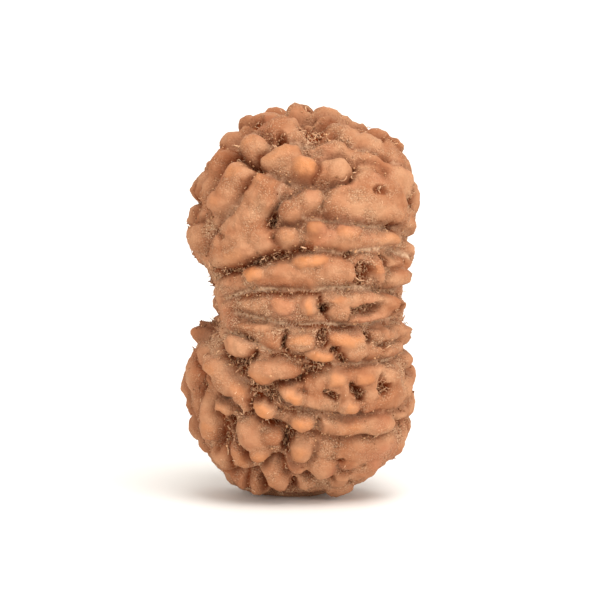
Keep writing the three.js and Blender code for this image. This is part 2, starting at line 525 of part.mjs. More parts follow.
// How far a point lies outside the smooth body
function outside(point) {
  return point.length() - bodyRadius(point.clone().normalize());
}

function bodyNormal(point) {
  const slope = (axis) => {
    const nudge = axis.clone().multiplyScalar(SLOPE_STEP);
    return outside(point.clone().add(nudge)) - outside(point.clone().sub(nudge));
  };
  const axes = [new THREE.Vector3(1, 0, 0), new THREE.Vector3(0, 1, 0), new THREE.Vector3(0, 0, 1)];
  return new THREE.Vector3(...axes.map(slope)).normalize();
}

// Point of the front where something is seen at a distance across and a height above the ground
function frontPoint(across, height) {
  const base = ACROSS.clone().multiplyScalar(across);
  base.addScaledVector(UPWARDS, height - MIDDLE);
  while (outside(base) > -START_DEPTH) {
    base.multiplyScalar(DRAW_IN);
  }
  let near = 0;
  let far = HEIGHT;
  for (let turn = 0; turn < HALVINGS; turn += 1) {
    const half = (near + far) / 2;
    if (outside(base.clone().addScaledVector(TOWARDS, half)) < 0) {
      near = half;
    } else {
      far = half;
    }
  }
  return base.addScaledVector(TOWARDS, near);
}

// Direction at an angle from the left mouth, on the face line at an angle about the channel
function channelDirection(fromLeft, about) {
  const outwards = CHANNEL_FRONT.clone().multiplyScalar(Math.cos(about));
  outwards.z += Math.sin(about);
  const inwards = CHANNEL_LEFT.clone().multiplyScalar(Math.cos(fromLeft));
  return inwards.addScaledVector(outwards, Math.sin(fromLeft));
}

function angleAbout(point) {
  return Math.atan2(point.z, point.dot(CHANNEL_FRONT));
}

function angleFromLeft(point) {
  return point.angleTo(CHANNEL_LEFT);
}

// A knob or a pit: where it sits, the two ways that it lies, its sizes and how far it rises
function feature(centre, heading, length, width, rise) {
  const normal = bodyNormal(centre);
  const along = heading.clone().addScaledVector(normal, -heading.dot(normal)).normalize();
  const sideways = normal.clone().cross(along);
  return { centre, normal, along, sideways, length, width, rise };
}

// True size of something whose size is measured as it looks from the front
function unforeshortened(size, way) {
  const shown = Math.sqrt(1 - way.dot(TOWARDS) ** 2);
  return size / Math.max(shown, FORESHORTENING_LIMIT);
}

function frontFeature([across, height, length, width, tilt, rise]) {
  const turn = THREE.MathUtils.degToRad(tilt);
  const heading = ACROSS.clone().multiplyScalar(Math.cos(turn)).addScaledVector(UPWARDS, Math.sin(turn));
  const found = feature(frontPoint(across, height), heading, length, width, rise);
  found.length = unforeshortened(length, found.along);
  found.width = unforeshortened(width, found.sideways);
  return found;
}

// Points along a crevice, close together, on the smooth body
function crevicePoints(corners) {
  const curve = new THREE.CatmullRomCurve3(corners, false, 'centripetal');
  const count = Math.ceil(curve.getLength() / LINE_STEP);
  return curve.getSpacedPoints(count).map((point) => bodyPoint(point.normalize()));
}

// The run of a face line round one side, from its last point at the front to a channel mouth
function runToMouth(from, fromLeftEnd) {
  const about = angleAbout(from);
  const start = angleFromLeft(from);
  const steps = [0.25, 0.5, 0.75, 1];
  return steps.map((share) => bodyPoint(channelDirection(start + (fromLeftEnd - start) * share, about)));
}

function faceLine([depth, width, places]) {
  const corners = places.map(([across, height]) => frontPoint(across, height));
  const right = runToMouth(corners[corners.length - 1], Math.PI - 2 * MOUTH_SPREAD);
  return { depth, width, points: crevicePoints([...corners, ...right]), right };
}

function crevice([depth, width, places]) {
  const corners = places.map(([across, height]) => frontPoint(across, height));
  return { depth, width, points: crevicePoints(corners) };
}

// A face line of the back, with a slight wave, from one channel mouth to the other
function hiddenLine(about) {
  const phase = draw() * 2 * Math.PI;
  const corners = [];
  for (let share = HIDDEN_LINE_START; share < HIDDEN_LINE_END; share += HIDDEN_LINE_PACE) {
    const wave = WAVE_HEIGHT * Math.sin(phase + share * WAVE_PACE);
    corners.push(bodyPoint(channelDirection(share * Math.PI, about + wave)));
  }
  return { depth: HIDDEN_LINE_DEPTH, width: HIDDEN_LINE_WIDTH, points: crevicePoints(corners) };
}

// Angle about the channel at which the seed's girth, measured from the front, reaches a share of it
function girthAngles(from, to, count) {
  const angles = [];
  const lengths = [0];
  let last = null;
  for (let step = 0; step <= GIRTH_STEPS; step += 1) {
    const angle = from + ((to - from) * step) / GIRTH_STEPS;
    const point = bodyPoint(channelDirection(Math.PI / 2, angle));
    if (last) {
      lengths.push(lengths[lengths.length - 1] + point.distanceTo(last));
    }
    angles.push(angle);
    last = point;
  }
  const total = lengths[lengths.length - 1];
  const found = [];
  for (let place = 0; place < count; place += 1) {
    const wanted = (total * place) / (count - 1);
    found.push(angles[lengths.findIndex((length) => length >= wanted - ROUNDING)]);
  }
  return found;
}

const frontLines = FACE_LINES.map(faceLine);
const evenAngles = girthAngles(HIDDEN_LINE_FROM, HIDDEN_LINE_TO, HIDDEN_LINES);
const hiddenAngles = evenAngles.map((angle) => angle + spread(HIDDEN_LINE_SCATTER));
const crevices = [...frontLines, ...CREVICES.map(crevice), ...hiddenAngles.map(hiddenLine)];

const frontKnobs = [
  ...LOW_RIBS,
  ...CROWN_KNOBS,
  ...UPPER_LEFT_KNOBS,
  ...UPPER_FRONT_KNOBS,
  ...WAIST_KNOBS,
  ...LOWER_FRONT_KNOBS,
  ...LOWER_LEFT_KNOBS,
].map(frontFeature);
const frontPits = PITS.map(frontFeature);
const hollows = HOLLOWS.map(frontFeature);

// Knobs and pits along a rib that the front doesn't show
function hiddenRib(about, knobs, pits) {
  const girth = bodyPoint(channelDirection(Math.PI / 2, about)).length();
  const knobStep = KNOB_SPACING / girth;
  let place = RIB_END + draw() * knobStep;
  while (place < Math.PI - RIB_END) {
    const size = SIZE_LEAST + draw() * SIZE_RANGE;
    const turn = spread(KNOB_TILT);
    const isPit = draw() < PIT_SHARE;
    const centre = bodyPoint(channelDirection(place, about + spread(RIB_SCATTER)));
    const ahead = bodyPoint(channelDirection(place + HEADING_STEP, about)).sub(centre);
    const normal = bodyNormal(centre);
    const clear = frontKnobs.every((knob) => knob.centre.distanceTo(centre) > KNOB_CLEARANCE);
    if (normal.y > FACE_LIMIT && clear) {
      const heading = ahead.clone().applyAxisAngle(normal, turn);
      const narrow = NARROW_LEAST + draw() * NARROW_RANGE;
      const behind = THREE.MathUtils.clamp((normal.y - RIM_FROM) / RIM_RANGE, RIM_LEAST, 1);
      const rise = KNOB_RISE * size * behind;
      knobs.push(feature(centre, heading, KNOB_LENGTH * size, KNOB_WIDTH * narrow, rise));
      if (isPit) {
        const between = bodyPoint(channelDirection(place + knobStep / 2, about + spread(PIT_SCATTER)));
        const width = PIT_SIZE * narrow * PIT_NARROWNESS;
        pits.push(feature(between, ahead, PIT_SIZE * size, width, PIT_DEPTH));
      }
    }
    place += knobStep * (SPACING_LEAST + draw() * SPACING_RANGE);
  }
}

const rightAngles = frontLines.map((line) => angleAbout(line.right[0]));
const wholeTurn = (angle) => THREE.MathUtils.euclideanModulo(angle, 2 * Math.PI);
const lineAngles = [...rightAngles, ...hiddenAngles].map(wholeTurn);
lineAngles.sort((one, other) => one - other);

const hiddenKnobs = [];
const hiddenPits = [];
lineAngles.forEach((angle, index) => {
  const next = index + 1 < lineAngles.length ? lineAngles[index + 1] : lineAngles[0] + 2 * Math.PI;
  const gap = next - angle;
  const rows = gap > DOUBLE_RIB_GAP ? 2 : 1;
  for (let row = 0; row < rows; row += 1) {
    hiddenRib(angle + (gap * (row + 0.5)) / rows, hiddenKnobs, hiddenPits);
  }
});

const knobs = [...frontKnobs, ...hiddenKnobs];
const pits = [...frontPits, ...hiddenPits];

const [rimAcross, rimBack, rimHeight, rimLength, rimWidth, rimRise] = BACK_RIM_KNOB;
const rimWay = new THREE.Vector3(rimAcross, rimBack, rimHeight).normalize();
knobs.push(feature(bodyPoint(rimWay), UPWARDS, rimLength, rimWidth, rimRise));

// Share of a knob's rise or a pit's depth at a point of the body: 1 over its middle, 0 past its edge
function dome(item, point, normal) {
  const facing = THREE.MathUtils.clamp((normal.dot(item.normal) - FACING_FROM) / FACING_RANGE, 0, 1);
  const offset = point.clone().sub(item.centre);
  const lengthwise = Math.abs(offset.dot(item.along)) / (KNOB_SPREAD * item.length);
  const widthwise = Math.abs(offset.dot(item.sideways)) / (KNOB_SPREAD * item.width);
  const out = lengthwise ** KNOB_SQUARENESS + widthwise ** KNOB_SQUARENESS;
  return out >= 1 ? 0 : facing * (1 - out) ** KNOB_FALLOFF;
}

function knobRise(point, normal) {
  const total = knobs.reduce((sum, knob) => sum + (knob.rise * dome(knob, point, normal)) ** KNOB_BLEND, 0);
  return total ** (1 / KNOB_BLEND);
}

function deepestOf(features, point, normal) {
  return features.reduce((deepest, one) => Math.max(deepest, one.rise * dome(one, point, normal)), 0);
}

// Depth of the pits and hollows at a point. A hollow ends where a knob stands in it.
function sunkDepth(point, normal, rise) {
  const clear = THREE.MathUtils.clamp(1 - rise / HOLLOW_CLEAR, 0, 1);
  return Math.max(deepestOf(pits, point, normal), clear * deepestOf(hollows, point, normal));
}

// Share of its height that a point keeps: none on the flat foot
function aboveFoot(point) {
  const fromFoot = Math.hypot(point.x - FOOT_ACROSS, point.y - FOOT_BACK);
  return point.z < 0 ? THREE.MathUtils.smoothstep(fromFoot, FLAT_RADIUS, FLAT_RADIUS + FOOT_BLEND) : 1;
}

function nearestOf(points, point) {
  const gap = (place) => place.distanceToSquared(point);
  return points.reduce((best, place) => (gap(place) < gap(best) ? place : best));
}

// Depth of the crevices at a point, and the nearest bottom of one
function creviceAt(point) {
  let deepest = 0;
  let bottom = null;
  let least = Infinity;
  for (const { depth, width, points } of crevices) {
    const nearest = nearestOf(points, point);
    const distance = nearest.distanceTo(point);
    const away = distance / (width * CUT_SHARE);
    const cut = (1 - SHOULDER_SHARE) * Math.exp(-(away ** 2));
    const shoulder = SHOULDER_SHARE * Math.exp(-((away / SHOULDER_WIDTH) ** 2));
    deepest = Math.max(deepest, CREVICE_DEEPENING * depth * (cut + shoulder));
    if (distance < least) {
      least = distance;
      bottom = nearest;
    }
  }
  return { depth: deepest, bottom, distance: least };
}

function reliefPoint(direction) {
  let point = bodyPoint(direction);
  let found = creviceAt(point);
  if (found.distance < DRAW_REACH) {
    point = bodyPoint(point.lerp(found.bottom, DRAW_SHARE).normalize());
    found = creviceAt(point);
  }
  const normal = bodyNormal(point);
  const rise = knobRise(point, normal);
  const sunk = found.depth + sunkDepth(point, normal, rise);
  const raised = point.clone().addScaledVector(normal, rise - sunk);
  raised.z = Math.max(0, raised.z + MIDDLE) * aboveFoot(point);
  return raised;
}

function seedGeometry() {
  const ball = new THREE.IcosahedronGeometry(1, FINENESS);
  ball.deleteAttribute('normal');
  ball.deleteAttribute('uv');
  const geometry = mergeVertices(ball, MERGE_DISTANCE);
  const places = geometry.getAttribute('position');
  const direction = new THREE.Vector3();
  for (let index = 0; index < places.count; index += 1) {
    direction.fromBufferAttribute(places, index);
    direction.z *= END_CLOSENESS;
    const raised = reliefPoint(direction.normalize());
    places.setXYZ(index, raised.x, raised.y, raised.z);
  }
  geometry.computeBoundingBox();
  const middle = geometry.boundingBox.getCenter(new THREE.Vector3());
  geometry.translate(-middle.x, -middle.y, 0);
  geometry.computeVertexNormals();
  return geometry;
}

const seedMaterial = new THREE.MeshStandardMaterial({ color: 0xb5754f, roughness: 0.72, metalness: 0 });
const seed = new THREE.Mesh(seedGeometry(), seedMaterial);
seed.name = 'rudraksha_seed';

const rudraksha = new THREE.Group();
rudraksha.add(seed);

export default rudraksha;
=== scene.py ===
"""A rudraksha seed: its stone with knobs, crevices and pits, and the fibre and crumbs of dried flesh in them.

Shapes are worked out in millimetres from the middle of the seed, and meshes are made in metres.
"""

import logging
import math
from dataclasses import dataclass, field
from enum import Enum

import bpy
import numpy as np
from bpy.types import Material, Node, NodeSocket, NodeTree, Object
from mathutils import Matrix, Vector, noise
from mathutils.kdtree import KDTree


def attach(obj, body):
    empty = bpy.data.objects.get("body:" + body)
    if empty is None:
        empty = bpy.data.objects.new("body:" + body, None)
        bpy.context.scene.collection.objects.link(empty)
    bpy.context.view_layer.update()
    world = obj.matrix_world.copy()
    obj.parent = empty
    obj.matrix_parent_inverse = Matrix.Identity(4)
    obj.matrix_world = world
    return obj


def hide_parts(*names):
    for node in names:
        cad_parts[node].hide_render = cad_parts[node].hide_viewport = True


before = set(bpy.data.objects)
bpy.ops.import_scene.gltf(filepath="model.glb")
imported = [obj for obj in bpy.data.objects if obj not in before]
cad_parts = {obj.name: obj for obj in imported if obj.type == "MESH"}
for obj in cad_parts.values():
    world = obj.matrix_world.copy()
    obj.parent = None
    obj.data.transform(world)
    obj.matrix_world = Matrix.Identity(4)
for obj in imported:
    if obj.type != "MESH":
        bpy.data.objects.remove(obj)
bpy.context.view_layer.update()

LOG = logging.getLogger("rudraksha")
MM = 0.001
NODE = "rudraksha_seed"
TINY = 1e-12
# Shifts of the noise that give its three ways, and a slanted way that no strand follows
NUDGE_SHIFTS = (31.7, 47.1, 59.9)
SWEEP_REFERENCE = (0.31, 0.52, 0.79)

# Knobs of the front: across, height above the ground, length, width, tilt in degrees, rise
FRONT_KNOBS = (
    # Low ribs that the knobs stand on
    (-4.0, 36.8, 6.0, 3.0, 15, 0.6),
    (5.0, 36.4, 8.0, 2.2, -24, 0.6),
    (4.8, 34.4, 7.0, 2.8, -22, 0.6),
    (-9.0, 31.2, 8.0, 2.6, 66, 0.6),
    (-10.2, 26.4, 7.0, 2.6, 90, 0.7),
    (-7.0, 30.6, 6.4, 2.8, 55, 0.9),
    (-4.4, 29.6, 6.6, 3.2, 48, 0.8),
    (-0.3, 28.8, 5.0, 2.6, 28, 0.8),
    (1.2, 32.6, 7.6, 2.4, 4, 0.9),
    (-3.2, 25.4, 6.0, 2.4, 10, 0.9),
    (-3.4, 19.1, 6.5, 2.2, 0, 0.6),
    (-4.6, 15.8, 7.0, 2.6, -12, 0.6),
    (4.2, 15.2, 6.0, 2.8, -5, 0.6),
    (6.2, 10.8, 9.4, 4.0, 3, 0.7),
    (6.0, 7.2, 8.6, 1.9, 5, 0.8),
    (-7.2, 11.4, 6.4, 2.4, -52, 0.8),
    (-9.1, 8.0, 5.6, 1.8, 92, 0.8),
    (-10.9, 10.4, 8.6, 2.3, 90, 0.8),
    (-4.8, 5.8, 5.4, 3.4, -48, 0.6),
    (0.4, 4.2, 4.4, 3.4, 0, 0.6),
    (-4.0, 2.5, 7.6, 2.2, -12, 0.5),
    # Crown
    (-0.3, 38.2, 2.8, 2.2, 0, 1.2),
    (-4.2, 37.3, 4.8, 1.9, 14, 0.9),
    (-2.4, 36.8, 3.4, 2.4, -35, 1.0),
    (-1.1, 35.7, 2.4, 1.9, -50, 0.9),
    (-5.6, 37.0, 2.2, 1.6, 25, 1.0),
    (-4.9, 34.5, 2.8, 2.4, 10, 1.4),
    (-7.2, 35.3, 3.0, 1.9, 42, 1.0),
    (2.4, 38.1, 3.0, 2.0, 0, 1.6),
    (4.0, 38.0, 1.9, 1.6, -30, 1.4),
    (5.4, 37.0, 3.4, 1.5, -25, 1.2),
    (7.4, 36.1, 2.6, 1.4, -28, 1.2),
    (9.0, 34.8, 2.0, 1.8, -20, 1.3),
    (8.1, 35.1, 2.6, 1.8, -15, 1.1),
    (4.1, 35.9, 4.0, 1.4, -20, 1.0),
    (6.4, 34.8, 3.0, 1.6, -42, 1.1),
    (2.9, 34.3, 3.4, 1.3, -4, 1.2),
    (6.4, 33.3, 4.4, 1.2, -22, 0.8),
    (9.6, 32.6, 5.6, 3.2, -68, 1.0),
    # Upper left
    (-8.2, 33.1, 3.8, 1.9, 66, 1.5),
    (-9.3, 33.4, 2.1, 1.4, 66, 1.0),
    (-10.2, 31.4, 3.2, 2.0, 85, 1.4),
    (-9.3, 30.6, 3.0, 1.5, 62, 1.2),
    (-10.6, 28.0, 2.6, 2.2, 80, 1.3),
    (-9.4, 28.3, 2.0, 1.5, 60, 0.8),
    (-10.2, 25.9, 3.2, 2.4, 95, 1.5),
    (-11.0, 25.5, 3.2, 1.5, 97, 0.9),
    (-10.2, 24.2, 2.8, 1.8, 105, 1.2),
    (-6.4, 31.5, 3.0, 2.7, 60, 1.5),
    (-7.5, 29.9, 3.6, 2.3, 52, 1.4),
    (-8.3, 29.1, 1.8, 1.7, 45, 1.5),
    # Upper front
    (-2.1, 33.5, 4.3, 2.0, 16, 1.6),
    (0.1, 32.4, 2.4, 2.2, 0, 1.7),
    (3.3, 32.3, 3.0, 2.3, 0, 1.3),
    (-4.0, 31.3, 1.9, 1.7, 70, 1.5),
    (-3.8, 30.1, 3.8, 3.0, 45, 1.2),
    (-5.0, 29.6, 2.2, 1.8, 50, 1.1),
    (-3.7, 29.4, 1.2, 0.9, 30, 1.4),
    (-3.3, 28.7, 1.2, 1.0, 40, 1.3),
    (-1.3, 28.3, 2.4, 2.3, 30, 1.5),
    (0.6, 29.4, 2.8, 2.1, 10, 1.3),
    (-1.6, 25.8, 2.4, 2.1, 0, 1.6),
    (-4.1, 25.9, 2.8, 1.9, 5, 1.3),
    (-6.2, 26.3, 5.6, 4.0, 42, 1.0),
    (-5.2, 27.6, 3.0, 2.2, 40, 1.0),
    (-8.0, 24.3, 3.6, 2.2, 65, 1.2),
    (-6.2, 23.9, 3.8, 2.2, 25, 1.3),
    (-3.6, 24.9, 2.4, 1.4, 25, 1.2),
    (5.2, 29.3, 5.6, 4.2, 10, 1.1),
    (3.6, 30.2, 2.4, 1.6, 35, 1.2),
    (8.2, 29.4, 4.6, 4.0, -10, 1.0),
    (6.3, 31.4, 3.4, 2.0, -20, 0.9),
    (3.2, 28.6, 2.2, 2.2, 0, 1.2),
    (8.9, 27.9, 2.8, 1.8, -5, 1.1),
    (11.0, 30.4, 4.4, 1.6, -85, 1.0),
    (10.6, 27.0, 2.2, 1.4, 80, 0.9),
    # Waist
    (1.3, 26.5, 2.0, 1.8, 0, 1.5),
    (4.5, 26.1, 2.6, 1.8, 0, 1.5),
    (8.0, 25.6, 2.2, 1.5, 0, 1.5),
    (4.8, 25.4, 9.4, 2.0, -3, 1.0),
    (1.0, 25.3, 2.2, 1.5, 0, 1.1),
    (10.4, 24.5, 2.0, 1.8, -20, 1.6),
    (0.6, 23.4, 3.9, 1.5, 4, 1.4),
    (-4.8, 22.2, 2.3, 1.5, 0, 1.5),
    (-2.6, 22.4, 2.2, 1.7, 10, 1.2),
    (-1.0, 22.1, 9.6, 2.4, 3, 0.9),
    (3.2, 22.4, 3.2, 2.8, 0, 0.9),
    (4.4, 22.4, 1.2, 2.2, 0, 1.1),
    (7.1, 22.4, 2.7, 1.0, -60, 1.1),
    (8.6, 23.4, 2.2, 1.2, -10, 1.0),
    (9.2, 22.2, 2.6, 1.9, 0, 1.0),
    (10.4, 22.2, 2.2, 2.0, 0, 1.6),
    (-7.6, 21.6, 2.0, 1.4, 20, 0.7),
    (-5.2, 19.2, 2.8, 1.5, 0, 0.8),
    (-2.0, 19.0, 2.4, 1.9, 0, 1.2),
    (0.5, 19.0, 1.9, 2.1, 0, 1.3),
    (5.6, 19.7, 6.6, 1.2, 0, 1.2),
    (3.5, 18.6, 1.9, 2.2, 0, 1.1),
    (6.3, 17.9, 4.2, 0.9, 2, 1.0),
    (7.9, 18.9, 1.4, 2.2, 0, 1.0),
    (8.9, 18.1, 2.0, 1.0, 20, 0.9),
    (10.1, 19.2, 2.0, 1.5, -8, 1.6),
    (-7.7, 19.0, 6.4, 1.6, 90, 0.7),
    (-5.0, 16.8, 3.6, 1.2, -12, 1.0),
    (-7.0, 17.3, 1.6, 1.2, -10, 0.7),
    (-2.9, 15.7, 2.4, 1.5, -10, 1.0),
    (-0.2, 15.5, 2.9, 1.9, -3, 1.4),
    (-6.3, 15.0, 2.8, 2.2, -12, 1.4),
    (1.7, 14.1, 2.8, 1.3, -5, 1.6),
    (4.1, 15.7, 3.2, 1.7, -12, 1.5),
    (5.0, 14.7, 2.2, 2.2, -40, 1.3),
    (6.8, 16.2, 1.2, 1.3, 0, 1.1),
    (8.4, 16.2, 2.6, 1.6, 5, 0.9),
    (8.8, 14.7, 2.8, 1.3, 8, 0.9),
    (6.6, 14.6, 1.8, 1.4, 0, 0.8),
    (10.1, 16.1, 2.3, 2.2, 0, 1.6),
    # Lower front
    (-4.1, 12.4, 2.6, 2.3, 0, 1.5),
    (-2.3, 12.7, 4.4, 1.8, -3, 1.4),
    (-1.2, 10.4, 3.0, 1.6, -30, 1.7),
    (-3.8, 9.0, 2.5, 1.4, -22, 1.7),
    (-0.1, 7.6, 2.5, 1.4, -5, 1.6),
    (-2.1, 9.2, 2.4, 0.9, -25, 0.6),
    (3.2, 11.9, 2.2, 1.6, 0, 1.3),
    (5.8, 11.9, 1.9, 1.4, 0, 1.3),
    (8.5, 12.0, 1.2, 2.0, 0, 1.2),
    (10.4, 11.6, 1.4, 3.0, 0, 1.2),
    (10.3, 13.5, 2.0, 1.8, 60, 1.1),
    (5.2, 12.3, 7.6, 1.3, 6, 0.9),
    (1.2, 11.3, 2.0, 1.8, 20, 0.9),
    (0.9, 9.8, 2.4, 1.9, 0, 0.9),
    (3.9, 10.6, 1.0, 2.2, 10, 1.1),
    (6.4, 10.3, 1.3, 2.0, 0, 1.0),
    (4.3, 9.2, 2.3, 1.5, 0, 1.4),
    (8.8, 10.0, 3.6, 2.4, 15, 1.0),
    (6.7, 9.2, 2.0, 1.5, 0, 0.8),
    (10.4, 9.4, 1.6, 2.4, 0, 1.0),
    (4.2, 7.1, 3.6, 1.6, 2, 1.2),
    (2.3, 7.2, 1.6, 1.3, 0, 0.8),
    (7.6, 7.2, 2.6, 1.3, 5, 1.3),
    (9.6, 8.3, 2.2, 1.5, 45, 1.0),
    (10.2, 6.4, 2.6, 1.4, 80, 0.9),
    (5.2, 4.6, 4.6, 2.8, 8, 0.9),
    (7.9, 4.9, 3.6, 3.0, 25, 0.9),
    (9.3, 5.0, 3.6, 1.4, 60, 0.9),
    (6.2, 2.9, 4.2, 1.4, 22, 0.8),
    (2.0, 5.1, 2.2, 2.0, 0, 0.7),
    # Lower left
    (-8.5, 13.1, 2.2, 1.7, -20, 1.4),
    (-7.5, 11.6, 3.2, 2.2, -50, 1.3),
    (-6.1, 10.3, 3.4, 1.5, -68, 1.4),
    (-7.8, 9.1, 1.8, 1.5, -10, 1.4),
    (-9.2, 8.6, 3.4, 1.3, 95, 1.3),
    (-8.9, 6.9, 2.4, 1.5, 85, 1.4),
    (-10.7, 13.0, 4.6, 2.2, 84, 1.2),
    (-11.3, 11.3, 3.6, 1.5, 97, 1.1),
    (-10.9, 9.2, 2.8, 1.3, 100, 1.0),
    (-10.5, 6.9, 2.6, 1.5, 93, 1.1),
    (-9.7, 5.3, 2.6, 1.4, 105, 0.9),
    (-5.2, 6.1, 3.9, 2.3, -58, 1.4),
    (-4.4, 4.5, 1.9, 1.8, -30, 1.5),
    (-3.1, 6.2, 2.4, 1.4, -22, 1.5),
    (-5.7, 7.2, 1.8, 1.3, -20, 1.2),
    (-0.3, 4.9, 2.2, 2.2, 0, 1.5),
    (-6.1, 4.4, 3.0, 1.6, -60, 1.3),
    (-7.9, 3.7, 3.6, 2.4, -35, 1.0),
    (-8.5, 5.3, 1.6, 1.4, 0, 0.7),
    (-2.8, 2.3, 3.0, 1.9, -65, 1.5),
    (-1.0, 3.2, 2.6, 1.3, -10, 1.2),
    (-6.2, 1.9, 2.4, 1.6, -55, 1.1),
    (-4.7, 1.3, 2.8, 1.7, -70, 1.3),
    (1.8, 3.1, 2.6, 2.2, 10, 1.3),
    (3.4, 1.9, 2.2, 1.4, -10, 0.9),
    (0.3, 1.6, 2.0, 1.2, -5, 0.9),
    (3.6, 0.9, 2.6, 1.3, 5, 0.8),
)

# Pits of the front: across, height above the ground, length, width, tilt in degrees, depth
FRONT_PITS = (
    (-4.6, 37.1, 1.7, 0.8, 28, 0.8),
    (-2.1, 35.4, 1.2, 0.8, -50, 1.2),
    (0.4, 37.9, 1.2, 0.8, 0, 0.7),
    (2.9, 35.6, 1.0, 0.8, -35, 0.6),
    (3.9, 35.0, 1.3, 0.5, -35, 0.5),
    (7.4, 35.2, 1.1, 0.6, 100, 0.9),
    (8.3, 35.0, 1.2, 0.8, 10, 0.5),
    (8.1, 33.3, 1.3, 0.5, -28, 0.5),
    (-4.7, 32.5, 1.7, 0.7, -30, 0.9),
    (-8.0, 30.9, 1.8, 0.8, 80, 0.6),
    (7.2, 30.1, 1.1, 0.9, 10, 0.6),
    (10.5, 29.9, 2.2, 0.8, -83, 0.8),
    (-7.7, 25.8, 0.7, 0.6, 0, 0.4),
    (-3.0, 27.4, 1.7, 0.8, 60, 1.2),
    (9.0, 26.7, 1.4, 0.5, -20, 0.8),
    (-8.8, 22.6, 1.3, 0.6, -50, 0.7),
    (4.4, 24.1, 1.1, 0.6, 20, 0.6),
    (5.8, 22.1, 2.4, 1.7, 75, 1.0),
    (7.6, 23.2, 1.7, 0.7, -72, 0.8),
    (2.1, 18.6, 1.0, 0.7, 0, 1.2),
    (6.0, 18.8, 2.5, 1.0, 3, 0.8),
    (9.0, 18.8, 1.1, 1.0, 20, 0.9),
    (8.5, 17.4, 0.6, 0.5, 0, 0.5),
    (1.9, 15.9, 1.8, 1.2, 85, 1.3),
    (3.1, 14.8, 0.9, 0.6, 0, 1.0),
    (3.8, 14.1, 1.3, 0.7, -60, 1.0),
    (6.0, 15.9, 1.2, 0.7, 70, 0.8),
    (7.7, 14.9, 1.4, 0.7, 70, 0.4),
    (9.7, 15.9, 0.9, 0.7, 30, 0.5),
    (-1.9, 15.5, 1.1, 0.5, 75, 0.8),
    (-5.5, 16.0, 1.3, 0.4, -35, 0.6),
    (-7.8, 14.8, 1.4, 0.6, -60, 0.8),
    (2.6, 10.3, 1.5, 1.1, -25, 1.0),
    (5.1, 10.7, 2.0, 1.0, -48, 1.2),
    (7.6, 11.0, 1.3, 1.2, 70, 1.2),
    (7.4, 11.9, 0.9, 0.8, 60, 0.5),
    (9.5, 12.4, 1.1, 0.6, -58, 0.8),
    (-1.5, 5.8, 1.8, 0.9, 75, 1.1),
    (3.6, 3.9, 0.9, 0.6, 65, 0.7),
    (4.2, 2.6, 1.1, 0.5, 5, 0.4),
)

# Waxy orange places of the front, rubbed clean of dust: across, height, length, width, tilt, share
POLISHED_PLACES = (
    (0.1, 32.4, 2.0, 1.6, 0, 1.0),
    (-2.0, 33.6, 3.6, 1.2, 16, 0.5),
    (-8.1, 33.5, 2.4, 1.2, 66, 0.4),
    (-6.4, 32.0, 1.8, 1.5, 40, 0.5),
    (-8.3, 29.2, 1.3, 1.3, 45, 0.6),
    (-3.9, 31.5, 1.3, 1.0, 60, 0.8),
    (-4.9, 34.7, 1.6, 1.2, 0, 0.3),
    (2.3, 38.0, 2.2, 1.2, 0, 0.3),
    (9.3, 35.2, 1.0, 1.2, 0, 0.4),
    (-10.4, 26.0, 2.4, 1.7, 95, 0.6),
    (1.1, 26.7, 1.4, 1.1, 0, 0.7),
    (4.3, 26.2, 2.2, 1.2, 0, 0.6),
    (8.1, 25.7, 2.0, 1.0, 0, 0.6),
    (-1.6, 25.8, 1.4, 1.2, 0, 0.4),
    (-6.6, 23.6, 3.2, 1.2, 25, 0.3),
    (0.6, 23.4, 3.6, 1.1, 4, 1.0),
    (-4.8, 22.2, 2.1, 1.3, 0, 1.0),
    (6.8, 22.9, 1.4, 0.8, -60, 0.6),
    (10.7, 24.2, 0.9, 1.0, 0, 0.5),
    (10.6, 22.0, 0.9, 1.2, 0, 0.4),
    (0.5, 19.0, 0.9, 1.7, 0, 0.8),
    (-2.0, 19.2, 1.6, 1.2, 0, 0.4),
    (3.5, 19.6, 1.6, 0.8, 0, 0.5),
    (-0.1, 15.8, 2.2, 1.0, 0, 0.7),
    (4.0, 15.7, 2.6, 1.2, -12, 0.8),
    (1.7, 14.1, 2.3, 1.0, -5, 1.0),
    (-4.2, 12.1, 1.6, 1.2, -10, 0.5),
    (-1.2, 10.5, 2.5, 1.1, -30, 1.0),
    (-3.9, 9.0, 2.1, 1.1, -20, 1.0),
    (-0.1, 7.6, 2.1, 1.1, -5, 1.0),
    (-0.3, 4.9, 1.7, 1.5, 0, 0.6),
    (4.5, 9.2, 1.3, 1.1, 0, 0.8),
    (3.2, 11.9, 1.6, 1.2, 0, 0.7),
    (5.8, 12.0, 1.4, 0.9, 0, 0.5),
    (4.6, 7.1, 2.4, 0.9, 0, 0.5),
    (-4.3, 4.4, 1.6, 1.3, -40, 0.6),
    (-8.7, 12.9, 1.3, 0.9, 0, 0.5),
    (-6.1, 11.0, 2.0, 0.9, -60, 0.4),
    (-8.9, 7.0, 1.8, 1.0, 85, 0.5),
    (-7.9, 9.1, 1.3, 1.0, 0, 0.5),
    (-6.2, 4.2, 2.0, 1.0, -60, 0.4),
    (-2.8, 2.0, 1.8, 1.2, -65, 0.3),
)

